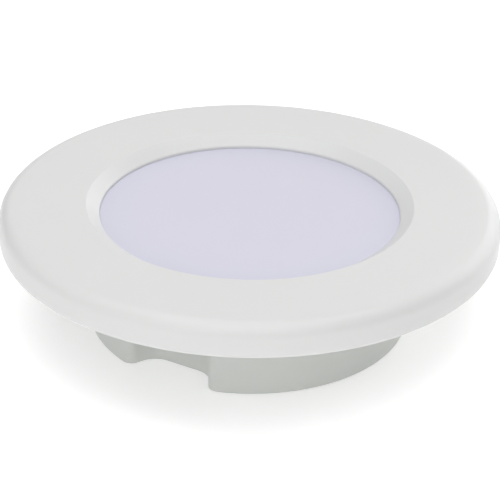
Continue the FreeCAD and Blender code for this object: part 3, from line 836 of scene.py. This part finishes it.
def makeEmitters(d):
    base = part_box("leds")[0].z
    length, width, tall = d["size"]
    tabLength, tabWidth, tabTall = d["tab"]
    top, gap, cupFloor = base + tall, d["gap"], d["windowFloor"]
    cupBottom = top - d["windowDeep"]
    gelBottom = cupBottom - gap
    gel = [(0, gelBottom), (cupFloor, gelBottom), (d["window"] - 0.03 * mm, top - gap),
           (0, top - 0.02 * mm)]
    outline = boxOutline(0, 0, length - 0.1 * mm, width, 0.15 * mm)
    spread = [math.atan2(p.y, p.x) for p in outline]
    levels = [[(p.x, p.y, z) for p in outline] for z in (base + 0.02 * mm, top)]
    levels += [[(r * math.cos(a), r * math.sin(a), z) for a in spread]
               for r, z in ((d["window"], top), (cupFloor, cupBottom))]
    spots = [(0, 0)]
    for radius, count in d["rings"]:
        spots += [(radius, 360 * i / count) for i in range(count) if (radius, 360 * i / count) != d["leftOut"]]
    shapes = []
    for radius, angle in spots:
        tabs = [
            boxShape(side * (length - tabLength) / 2, 0, tabLength, tabWidth, base, base + tabTall, 0.04 * mm)
            for side in (-1, 1)
        ]
        parts = ((skinned(levels), 0), (lathed(gel, 20, 2, 1), 1), (tabs[0], 2), (tabs[1], 2))
        for shape, finish in parts:
            shapes.append((moved(moved(shape, radius * mm), degrees=angle), finish))
    emitters = meshObject("emitters", gathered(shapes))
    return settle(emitters, "packagePlastic phosphor tinned", "lamp", ["leds"])


makeEmitters(emitterDesign)
print("emitters made")


# bayonet ring and engine carrier

carrierDesign = {
    "socket": (32.0 * mm, 34.4 * mm), "weld": (39.6 * mm, 2.0 * mm),
    "lug": (28.5 * mm, 5.0 * mm, 2.5 * mm, 13.0),
    "lugs": (90, 210, 330), "base": (34.0 * mm, 44.6 * mm, 1.6 * mm), "post": (3.4 * mm, 1.25 * mm, 8.0 * mm),
    "gap": (3.2 * mm, 3.3 * mm), "turns": 180,
}


def notchShape(d, grow, low, high):
    # the grip notch as a prism, its walls and floor moved outwards by grow
    flare = math.radians(d["notchFlare"])
    floorY = -(d["notchFloor"] - grow)
    half = d["notchHalf"] + grow / math.cos(flare) - grow * math.tan(flare)
    mouthY = -1.25 * d["radius"]      # well outside the hub
    mouth = half + (floorY - mouthY) * math.tan(flare)
    rounding = d["notchIn"] + grow
    return prismOf(roundedPath([
        (-mouth, mouthY), (mouth, mouthY), (half, floorY, rounding), (-half, floorY, rounding),
    ], 10), low, high)


def makeBayonetRing(d):
    low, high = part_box("bayonet_ring")
    inner, outer = d["socket"]
    weldRadius, weldTall = d["weld"]
    weldLow = high.z - weldTall
    section = [(inner, low.z, 0.25 * mm), (outer, low.z, 0.25 * mm), (outer, weldLow, 0.4 * mm),
               (weldRadius, weldLow, 0.3 * mm), (weldRadius, high.z), (inner, high.z)]
    ring = meshObject("bayonet_socket", lathed(section, d["turns"], 4))
    withShapes(ring, "DIFFERENCE", notchShape(hubDesign, d["gap"][0], low.z - mm, high.z + mm))
    lugRadius, lugLow, lugTall, lugHalf = d["lug"]
    lugs = [
        sectorShape(lugRadius, inner + 0.5 * mm, lugLow, lugLow + lugTall, angle, lugHalf, 0.25 * mm)
        for angle in d["lugs"]
    ]
    withShapes(ring, "UNION", *lugs)
    return settle(ring, "housingPlastic", "lamp", ["bayonet_ring"])


def makeEngineCarrier(d):
    low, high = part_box("engine_carrier")
    inner, outer, thick = d["base"]
    foot = sectionOf(inner, outer, low.z, low.z + thick, 0.25 * mm)
    carrier = meshObject("post_carrier", lathed(foot, d["turns"], 3))
    withShapes(carrier, "DIFFERENCE", notchShape(hubDesign, d["gap"][1], low.z - mm, high.z + mm))
    radius, hole, holeDeep = d["post"]
    holeLow = high.z - holeDeep
    post = [(0, low.z), (radius, low.z), (radius, high.z, 0.3 * mm), (hole, high.z), (hole, holeLow),
            (0, holeLow)]
    withShapes(carrier, "UNION", *placed(lambda: lathed(post, 40), screwPlaces["posts"]))
    return settle(carrier, "housingPlastic", "lamp", ["engine_carrier"])


makeBayonetRing(carrierDesign)
makeEngineCarrier(carrierDesign)
print("bayonet ring and engine carrier made")


# wall bracket

bracketDesign = {
    "plate": (13.5 * mm, 34.5 * mm, 2.6 * mm, 0.8 * mm), "collar": (25.0 * mm, 28.0 * mm), "turns": 180,
    "tab": (31.4 * mm, 7.8 * mm, 15.0), "tabs": (90, 210, 330), "stop": (1.5, -15.0, 46.5),
    "stiffener": (15.5 * mm, 1.4 * mm, 2.0 * mm), "screwHole": (2.25 * mm, 19.5 * mm),
    "screws": (30, 150, 270),
}


def makeWallBracket(d):
    low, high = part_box("wall_bracket")
    bore, rim, thick, rounding = d["plate"]
    top = low.z + thick
    sunk = top - 0.3 * mm
    collarIn, collarOut = d["collar"]
    plate = [(bore, low.z, 0.15 * mm), (rim, low.z, 0.15 * mm), (rim, top, rounding), (bore, top, rounding)]
    bracket = meshObject("bracket_plate", lathed(plate, d["turns"], 5))
    collar = [(collarIn, sunk), (collarOut, sunk), (collarOut, high.z, 0.3 * mm), (collarIn, high.z, 0.3 * mm)]
    withShapes(bracket, "UNION", lathed(collar, d["turns"]))
    tabRadius, tabLow, tabHalf = d["tab"]
    root = collarOut - 0.5 * mm
    tabs = [sectorShape(root, tabRadius, tabLow, high.z, angle, tabHalf, 0.25 * mm) for angle in d["tabs"]]
    withShapes(bracket, "UNION", *tabs)
    stopHalf, *stopTurns = d["stop"]
    stops = [
        sectorShape(root, tabRadius, sunk, high.z, angle + turn, stopHalf, 0.2 * mm, 4)
        for angle in d["tabs"] for turn in stopTurns
    ]
    withShapes(bracket, "UNION", *stops)
    start, wide, tall = d["stiffener"]
    end = collarIn + 0.5 * mm
    stiffeners = turned(
        lambda: boxShape((start + end) / 2, 0, end - start, wide, sunk, top + tall, 0.3 * mm, 0.15 * mm),
        d["tabs"],
    )
    withShapes(bracket, "UNION", *stiffeners)
    hole, circle = d["screwHole"]
    holes = turned(lambda: moved(rodShape(hole, low.z - mm, top + mm, 40), circle), d["screws"])
    withShapes(bracket, "DIFFERENCE", *holes)
    return settle(bracket, "bracketPlastic", "bracket", ["wall_bracket"])


makeWallBracket(bracketDesign)
print("wall bracket made")


# cable gland

glandDesign = {
    "thread": (8.0 * mm, 0.55 * mm, 1.5 * mm), "neck": 7.5 * mm, "flange": (20.0 * mm, 3.0 * mm),
    "seal": 1.2 * mm, "grommet": (5.6 * mm, 3.75 * mm), "ridges": 6, "throat": 4.55 * mm,
    "throatLow": 11.0 * mm, "floorLow": 10.8 * mm, "shankTall": 2.4 * mm, "chamfer": 0.8 * mm,
    "locknut": 22.0 * mm, "nutMouth": 4.45 * mm, "domeTall": 1.9 * mm, "turns": 96,
}


def makeGlandBody(d):
    low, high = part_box("gland_body")
    radius, depth, pitch = d["thread"]
    across, flangeTall = d["flange"]
    flangeTop, shankTop = d["floorLow"] - d["seal"], d["floorLow"] + d["shankTall"]
    flangeLow = flangeTop - flangeTall
    body = hexShape(across, flangeLow, flangeTop, d["chamfer"])
    shank = rodShape(radius - 0.05 * mm, flangeTop - 0.5 * mm, shankTop, d["turns"])
    upper = threadShape(radius, depth, pitch, shankTop - 0.2 * mm, high.z, 64)
    lower = threadShape(d["neck"], depth, pitch, low.z, flangeLow + 0.5 * mm, 64)
    for shape in (shank, upper, lower):
        withShapes(body, "UNION", shape)
    bore = rodShape(d["grommet"][0], low.z - mm, d["throatLow"] + mm, d["turns"])
    throat = rodShape(d["throat"], d["throatLow"], high.z + mm, d["turns"])
    for shape in (bore, throat):
        withShapes(body, "DIFFERENCE", shape)
    body.name = "gland_shell"
    return settle(body, "glandPlastic", "lamp", ["gland_body"], 40)


def makeGlandNuts(d):
    low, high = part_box("gland_nut")
    across = d["flange"][0]
    flat, domeTop = across / 2 - 0.2 * mm, low.z + d["domeTall"]
    nut = hexShape(across, low.z + 1.6 * mm, high.z, d["chamfer"])
    dome = [(0, low.z), (d["nutMouth"] + 1.9 * mm, low.z, 0.6 * mm), (flat, domeTop, 0.5 * mm),
            (flat, domeTop + 0.6 * mm), (0, domeTop + 0.6 * mm)]
    withShapes(nut, "UNION", lathed(dome, d["turns"]))
    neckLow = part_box("gland_body")[0].z
    bore = rodShape(d["neck"] + 0.05 * mm, neckLow - 0.3 * mm, high.z + mm, d["turns"])
    withShapes(nut, "DIFFERENCE", bore)
    withShapes(nut, "DIFFERENCE", rodShape(d["nutMouth"], low.z - mm, neckLow, d["turns"]))
    nut.name = "cable_nut"
    settle(nut, "glandPlastic", "lamp", ["gland_nut"], 40)
    low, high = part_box("gland_locknut")
    locknut = hexShape(d["locknut"], low.z, high.z, d["chamfer"])
    withShapes(locknut, "DIFFERENCE", rodShape(d["thread"][0], low.z - mm, high.z + mm, d["turns"]))
    locknut.name = "inner_nut"
    settle(locknut, "glandPlastic", "lamp", ["gland_locknut"], 40)


def makeGlandSeals(d):
    low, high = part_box("gland_grommet")
    outer, inner = d["grommet"]
    step = (high.z - low.z) / d["ridges"]
    section = [(outer, low.z, 0.5 * mm), (outer, high.z, 0.5 * mm), (inner, high.z, 0.3 * mm)]
    for i in range(1, d["ridges"]):
        z = high.z - step * i
        for rise, deep in ((0.25, 0), (0, 0.25), (-0.25, 0)):
            section.append((inner + deep * mm, z + rise * step, 0.1 * mm))
    section.append((inner, low.z, 0.3 * mm))
    grommet = meshObject("cable_grommet", lathed(section, d["turns"], 3))
    settle(grommet, "blackRubber", "lamp", ["gland_grommet"])
    low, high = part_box("gland_flange_seal")
    washer = lathed(sectionOf(d["thread"][0], high.x, low.z, high.z, 0.4 * mm), d["turns"], 3)
    settle(meshObject("flange_washer", washer), "blackRubber", "lamp", ["gland_flange_seal"])


makeGlandBody(glandDesign)
makeGlandNuts(glandDesign)
makeGlandSeals(glandDesign)
print("cable gland made")


# driver board and what is on it

driverDesign = {
    "screwHole": 1.0 * mm, "boardRound": 0.8 * mm,
    "capacitors": ((-9.5 * mm, -5.2 * mm), (-1.8 * mm, -5.2 * mm)), "inductor": (8.6 * mm, -4.4 * mm),
    "coil": (3.55 * mm, 1.65 * mm, 1.95 * mm, 0.2 * mm),      # radius, lowest turn, rise, wire
    "chips": ((-10.0 * mm, 5.0 * mm), (11.5 * mm, 5.0 * mm)), "rectifier": (17.4 * mm, -4.8 * mm),
    "flatResistors": ((-4.4 * mm, 0.9 * mm), (0.0, 0.9 * mm)),
    "uprightResistors": ((16.6 * mm, 3.0 * mm), (19.2 * mm, 3.0 * mm), (21.8 * mm, 3.0 * mm)),
    "terminal": (-20.5 * mm, 4.8 * mm, 5.0 * mm), "plug": 7.4 * mm,
}
boardLow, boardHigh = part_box("driver_board")
boardTop = boardHigh.z
boardMiddle = (boardLow.y + boardHigh.y) / 2


def onBoard(shape, x, y):
    return moved(shape, x, boardMiddle + y, boardTop)


def makeDriverBoard(d):
    length, width = boardHigh.x - boardLow.x, boardHigh.y - boardLow.y
    panel = boxShape(0, boardMiddle, length, width, boardLow.z, boardTop, d["boardRound"], 0.05 * mm)
    board = meshObject("driver_panel", panel)
    holes = placed(lambda: rodShape(d["screwHole"], boardLow.z - mm, boardTop + mm, 32), screwPlaces["driver"])
    withShapes(board, "DIFFERENCE", *holes)
    return settle(board, "driverBoardMask", "lamp", ["driver_board"])


def makeCapacitors(d):
    shapes = []
    for x, y in d["capacitors"]:
        base = prismOf(roundedPath([
            (-3.3 * mm, -3.3 * mm, 0.2 * mm), (2.0 * mm, -3.3 * mm, 0.2 * mm), (3.3 * mm, -2.0 * mm, 0.2 * mm),
            (3.3 * mm, 2.0 * mm, 0.2 * mm), (2.0 * mm, 3.3 * mm, 0.2 * mm), (-3.3 * mm, 3.3 * mm, 0.2 * mm),
        ], 3), 0.05 * mm, 1.0 * mm, 0.1 * mm)
        can = lathed([
            (0, 0.9 * mm), (3.0 * mm, 0.9 * mm, 0.2 * mm), (3.15 * mm, 1.3 * mm, 0.2 * mm),
            (3.15 * mm, 1.75 * mm, 0.1 * mm), (2.9 * mm, 1.95 * mm, 0.15 * mm),
            (3.15 * mm, 2.15 * mm, 0.1 * mm),
            (3.15 * mm, 5.76 * mm, 0.45 * mm), (2.55 * mm, 5.76 * mm, 0.1 * mm),
            (2.5 * mm, 5.68 * mm, 0.05 * mm),
            (0, 5.68 * mm),
        ], 56, 4)
        arc = roundedPath([(-2.4 * mm, 0), (0, -2.4 * mm, 2.2 * mm), (2.4 * mm, 0)], 8)
        mark = prismOf(arc, 5.6 * mm, 5.72 * mm)
        feet = [boxShape(side * 2.9 * mm, 0, 1.2 * mm, 0.9 * mm, 0, 0.2 * mm) for side in (-1, 1)]
        shapes += [(onBoard(shape, x, y), finish)
                   for shape, finish in ((base, 1), (can, 0), (mark, 1), (feet[0], 2), (feet[1], 2))]
    capacitors = meshObject("can_capacitors", gathered(shapes))
    return settle(capacitors, "canAluminium basePlastic tinned", "lamp",
                  ["smoothing_capacitors"])


def makeInductor(d):
    x, y = d["inductor"]
    base = boxShape(0, 0, 9.2 * mm, 9.2 * mm, 0.05 * mm, 0.9 * mm, 0.8 * mm, 0.1 * mm)
    drum = lathed([
        (0, 0.85 * mm), (4.2 * mm, 0.85 * mm, 0.1 * mm), (4.2 * mm, 1.3 * mm, 0.15 * mm), (3.0 * mm, 1.4 * mm),
        (3.0 * mm, 3.8 * mm), (4.2 * mm, 3.9 * mm, 0.15 * mm), (4.2 * mm, 4.4 * mm, 0.2 * mm), (0, 4.4 * mm),
    ], 56)
    radius, coilLow, coilRise, wire = d["coil"]
    turns, steps = 6, 40
    coil = []
    for i in range(turns * steps + 1):
        angle = 2 * math.pi * i / steps
        z = coilLow + coilRise * i / (turns * steps)
        coil.append(Vector((radius * math.cos(angle), radius * math.sin(angle), z)))
    feet = [boxShape(side * 4.1 * mm, 0, 1.0 * mm, 2.4 * mm, 0, 0.2 * mm) for side in (-1, 1)]
    shapes = [(base, 0), (drum, 0), (wireShape(coil, wire, 10), 1), (feet[0], 2), (feet[1], 2)]
    shapes = [(onBoard(shape, x, y), finish) for shape, finish in shapes]
    inductor = meshObject("drum_inductor", gathered(shapes))
    return settle(inductor, "ferriteBlack copperWire tinned", "lamp", ["filter_inductor"])


def legShapes(count, pitch, reach, root, rootHigh, wide, thick=0.18 * mm):
    # gull-wing legs along both long sides of a package that lies along X
    shapes = []
    for side in (-1, 1):
        for i in range(count):
            across = (i - (count - 1) / 2) * pitch
            path = [
                (root, rootHigh), (root + 0.35 * reach, rootHigh, 0.12 * mm),
                (root + 0.6 * reach, 0, 0.12 * mm),
                (root + reach, 0), (root + reach, thick), (root + 0.6 * reach + 0.1 * mm, thick, 0.05 * mm),
                (root + 0.35 * reach + 0.1 * mm, rootHigh + thick, 0.05 * mm), (root, rootHigh + thick),
            ]
            shapes.append(sideways(roundedPath(path, 3), across, wide, side))
    return shapes


def sideways(outline, across, wide, side):
    # a (y, z) outline drawn out along X
    return skinned([[(across + shift * wide / 2, side * p.x, p.y) for p in outline] for shift in (-1, 1)])


def packageShape(length, width, tall, draft, dimple):
    # epoxy body with drafted sides, a parting line at half height and a dimple at its first leg
    rings = []
    for inset, z in ((draft, 0.1 * mm), (0.0, tall * 0.5 - 0.03 * mm), (0.0, tall * 0.5 + 0.03 * mm),
                     (draft, tall - 0.05 * mm), (draft + 0.05 * mm, tall)):
        outline = boxOutline(0, 0, length - 2 * inset, width - 2 * inset, 0.1 * mm)
        rings.append([(p.x, p.y, z) for p in outline])
    piece = meshObject("package", skinned(rings))
    spot = moved(rodShape(dimple, tall - 0.08 * mm, tall + mm, 24),
                 -length / 2 + draft + 2 * dimple, -width / 2 + draft + 2 * dimple)
    withShapes(piece, "DIFFERENCE", spot)
    return shapeOf(piece)


def makeChips(d):
    shapes = []
    for x, y in d["chips"]:
        body = packageShape(4.9 * mm, 3.7 * mm, 1.5 * mm, 0.15 * mm, 0.25 * mm)
        legs = legShapes(4, 1.27 * mm, 1.0 * mm, 1.75 * mm, 0.62 * mm, 0.4 * mm)
        shapes += [(onBoard(body, x, y), 0)] + [(onBoard(leg, x, y), 1) for leg in legs]
    chips = meshObject("driver_packages", gathered(shapes))
    settle(chips, "chipEpoxy tinned", "lamp", ["driver_chips"])
    x, y = d["rectifier"]
    body = packageShape(7.6 * mm, 5.4 * mm, 2.6 * mm, 0.25 * mm, 0.35 * mm)
    legs = legShapes(2, 5.1 * mm, 1.1 * mm, 2.6 * mm, 1.0 * mm, 1.1 * mm, 0.24 * mm)
    shapes = [(onBoard(moved(shape, degrees=90), x, y), finish)
              for shape, finish in [(body, 0)] + [(leg, 1) for leg in legs]]
    rectifier = meshObject("bridge_package", gathered(shapes))
    return settle(rectifier, "chipEpoxy tinned", "lamp", ["bridge_rectifier"])


def makeResistors(d):
    shapes = []
    places = [(x, y, 0) for x, y in d["flatResistors"]] + [(x, y, 90) for x, y in d["uprightResistors"]]
    for x, y, angle in places:
        core = boxShape(0, 0, 2.9 * mm, 1.55 * mm, 0.03 * mm, 0.52 * mm, 0.05 * mm, 0.03 * mm)
        film = boxShape(0, 0, 2.1 * mm, 1.4 * mm, 0.5 * mm, 0.57 * mm, 0.05 * mm, 0.03 * mm)
        caps = [boxShape(side * 1.35 * mm, 0, 0.5 * mm, 1.6 * mm, 0, 0.6 * mm, 0.08 * mm, 0.06 * mm)
                for side in (-1, 1)]
        shapes += [(onBoard(moved(shape, degrees=angle), x, y), finish)
                   for shape, finish in ((core, 1), (film, 0), (caps[0], 2), (caps[1], 2))]
    resistors = meshObject("chip_resistors", gathered(shapes))
    return settle(resistors, "basePlastic ceramicWhite tinned", "lamp", ["sense_resistors"])


def makeTerminal(d):
    x, y, pitch = d["terminal"]
    block = prismOf(boxOutline(0, 0, 10.2 * mm, 7.6 * mm, 0.3 * mm), 0, 5.8 * mm, 0.2 * mm)
    piece = meshObject("terminal", block)
    shapes = []
    for side in (-1, 1):
        middle = side * pitch / 2
        withShapes(piece, "DIFFERENCE", moved(rodShape(1.5 * mm, 3.8 * mm, 7 * mm, 32), middle, -0.8 * mm))
        hole = tipped(rodShape(1.3 * mm, -3.0 * mm, 2.0 * mm, 32), (1, 0, 0), math.pi / 2)
        withShapes(piece, "DIFFERENCE", moved(hole, middle, 2.8 * mm, 2.0 * mm))
        screw = meshObject("clamp", rodShape(1.35 * mm, 3.7 * mm, 4.9 * mm, 32, 0.15 * mm))
        slot = boxShape(0, 0, 3.2 * mm, 0.45 * mm, 4.4 * mm, 6 * mm)
        withShapes(screw, "DIFFERENCE", moved(slot, degrees=25 * side))
        shapes.append((onBoard(moved(shapeOf(screw), middle, -0.8 * mm), x, y), 1))
    shapes.append((onBoard(shapeOf(piece), x, y), 0))
    terminal = meshObject("supply_terminals", gathered(shapes))
    return settle(terminal, "terminalPlastic tinned", "lamp", ["supply_terminal_block"])


def makePlug(d):
    body = boxShape(0, 0, 6.6 * mm, 5.2 * mm, 0, 4.4 * mm, 0.25 * mm, 0.15 * mm)
    piece = meshObject("plug", body)
    keys = [moved(boxShape(0, 0, 0.8 * mm, 1.0 * mm, 0.8 * mm, 6 * mm), side * 1.6 * mm, -2.5 * mm)
            for side in (-1, 1)]
    withShapes(piece, "DIFFERENCE", *keys)
    latch = boxShape(0, -0.6 * mm, 1.8 * mm, 2.4 * mm, 4.0 * mm, 6 * mm)
    withShapes(piece, "DIFFERENCE", latch)
    plug = meshObject("lead_plug", onBoard(shapeOf(piece), 0, d["plug"]))
    return settle(plug, "plugPlastic", "lamp", ["led_plug"])


makeDriverBoard(driverDesign)
makeCapacitors(driverDesign)
makeInductor(driverDesign)
makeChips(driverDesign)
makeResistors(driverDesign)
makeTerminal(driverDesign)
makePlug(driverDesign)
print("driver made")


# leads between the driver and the emitter board

leadDesign = {
    "radius": 0.6 * mm, "core": 0.32 * mm, "bend": 2.0 * mm, "bendSteps": 10, "bared": 1.6 * mm,
    "colours": (("lead_red", "led_lead_positive", "red_insulation", "redInsulation"),
                ("lead_black", "led_lead_negative", "black_insulation", "blackInsulation")),
}


def makeLeads(d):
    for name, node, slotName, insulation in d["colours"]:
        low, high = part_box(node)
        x = (low.x + high.x) / 2
        radius, bend = d["radius"], d["bend"]
        lowZ, highZ, riseY = low.z + radius, high.z - radius, high.y - radius
        route = [Vector((x, y, lowZ)) for y in (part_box("led_plug")[1].y, riseY - bend)]
        for k in range(1, d["bendSteps"]):
            angle = math.pi / 2 * k / d["bendSteps"]
            y, z = riseY - bend * (1 - math.sin(angle)), lowZ + bend * (1 - math.cos(angle))
            route.append(Vector((x, y, z)))
        route += [Vector((x, riseY, lowZ + bend)), Vector((x, riseY, highZ - bend))]
        for k in range(1, d["bendSteps"]):
            angle = math.pi / 2 * k / d["bendSteps"]
            y, z = riseY - bend * (1 - math.cos(angle)), highZ - bend * (1 - math.sin(angle))
            route.append(Vector((x, y, z)))
        end = Vector((x, low.y, highZ))
        strip = end + Vector((0, d["bared"], 0))
        route += [Vector((x, riseY - bend, highZ)), strip]
        shapes = [(wireShape(route, radius), 0)]
        shapes.append((wireShape([strip + Vector((0, 0.4 * mm, 0)), strip, end], d["core"]), 1))
        lead = meshObject(name, gathered(shapes))
        settle(lead, f"{insulation} tinned", "lamp", [node], 50)


makeLeads(leadDesign)
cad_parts["potting_resin"].material_slots[0].material = finishes["pottingResin"]
print("leads made")


# floor, light and camera

studioDesign = {
    "floorSize": 2.4, "floorColour": (0.93, 0.93, 0.93), "floorGlow": 0.31,
    "ambient": 0.02, "backdrop": 1.0,
    "azimuth": 29.5, "elevation": 26.47, "distance": 0.5484, "lens": 131.7, "roll": 0.94,
    "aimDrop": 16.85 * mm, "aimRight": 0.21 * mm,
    "softboxSize": 1.5, "softboxDistance": 1.5,
    "softboxes": [
        # name, degrees to the right of the camera, elevation, watts, colour
        ("overhead", 0, 90, 12.4, (1.0, 1.0, 0.998)),
        ("front", 0, 45, 11.4, (1.0, 1.0, 1.0)),
        ("left", -45, 15, 4.4, (0.992, 1.0, 1.0)),
        ("leftHigh", -120, 50, 4.5, (1.0, 1.0, 1.0)),
        ("right", 100, 52, 2.0, (1.0, 1.0, 1.0)),
        ("behindRightLow", 135, 12, 14.2, (1.0, 0.999, 0.996)),
        ("behindLow", 180, 15, 3.9, (1.0, 1.0, 1.0)),
    ],
}


def directionFrom(azimuth, elevation):
    a, e = math.radians(azimuth), math.radians(elevation)
    return Vector((math.sin(a) * math.cos(e), -math.cos(a) * math.cos(e), math.sin(e)))


def pointingAt(place, target):
    return (Vector(place) - Vector(target)).to_track_quat("Z", "Y")


def makeFloor(d):
    bm = bmesh.new()
    bmesh.ops.create_grid(bm, x_segments=8, y_segments=8, size=d["floorSize"] / 2)
    mesh = bpy.data.meshes.new("studioFloor")
    bm.to_mesh(mesh)
    bm.free()
    floor = bpy.data.objects.new("studioFloor", mesh)
    bpy.context.scene.collection.objects.link(floor)
    material, tree, shader, place = newFinish("floorPaper")
    shader["Base Color"].default_value = (*d["floorColour"], 1)
    shader["Roughness"].default_value = 0.9
    shader["Specular IOR Level"].default_value = 0.1
    shader["Emission Color"].default_value = (1, 1, 1, 1)
    shader["Emission Strength"].default_value = d["floorGlow"]
    mesh.materials.append(material)


def makeLights(d):
    for name, across, elevation, watts, colour in d["softboxes"]:
        place = directionFrom(d["azimuth"] + across, elevation) * d["softboxDistance"]
        data = bpy.data.lights.new(name, "AREA")
        data.shape = "SQUARE"
        data.size = d["softboxSize"]
        data.energy, data.color = watts, colour
        light = bpy.data.objects.new(name, data)
        light.location = place
        light.rotation_mode = "QUATERNION"
        light.rotation_quaternion = pointingAt(place, (0, 0, 0))
        light.visible_camera = False
        bpy.context.scene.collection.objects.link(light)
    world = bpy.data.worlds.new("studio")
    world.use_nodes = True
    tree = world.node_tree
    background = tree.nodes["Background"]
    background.inputs["Color"].default_value = (1, 1, 1, 1)
    rays = tree.nodes.new("ShaderNodeLightPath")
    strength = spreadOver(tree, rays.outputs["Is Camera Ray"], d["ambient"], d["backdrop"], 0, 1)
    tree.links.new(strength, background.inputs["Strength"])
    bpy.context.scene.world = world


def makeCamera(d):
    back = directionFrom(d["azimuth"], d["elevation"])
    front = Vector((0, 0, frontHeight))
    right = directionFrom(d["azimuth"] + 90, 0)
    aim = front + right * d["aimRight"] - Vector((0, 0, d["aimDrop"]))
    data = bpy.data.cameras.new("camera")
    data.lens, data.sensor_width = d["lens"], 36
    data.clip_start, data.clip_end = 0.05, 50
    camera = bpy.data.objects.new("camera", data)
    camera.location = front + back * d["distance"]
    camera.rotation_mode = "QUATERNION"
    roll = Quaternion((0, 0, 1), math.radians(d["roll"]))
    camera.rotation_quaternion = pointingAt(camera.location, aim) @ roll
    bpy.context.scene.collection.objects.link(camera)
    bpy.context.scene.camera = camera


makeFloor(studioDesign)
makeLights(studioDesign)
makeCamera(studioDesign)
bpy.context.scene.view_settings.view_transform = "Standard"
print("studio made")
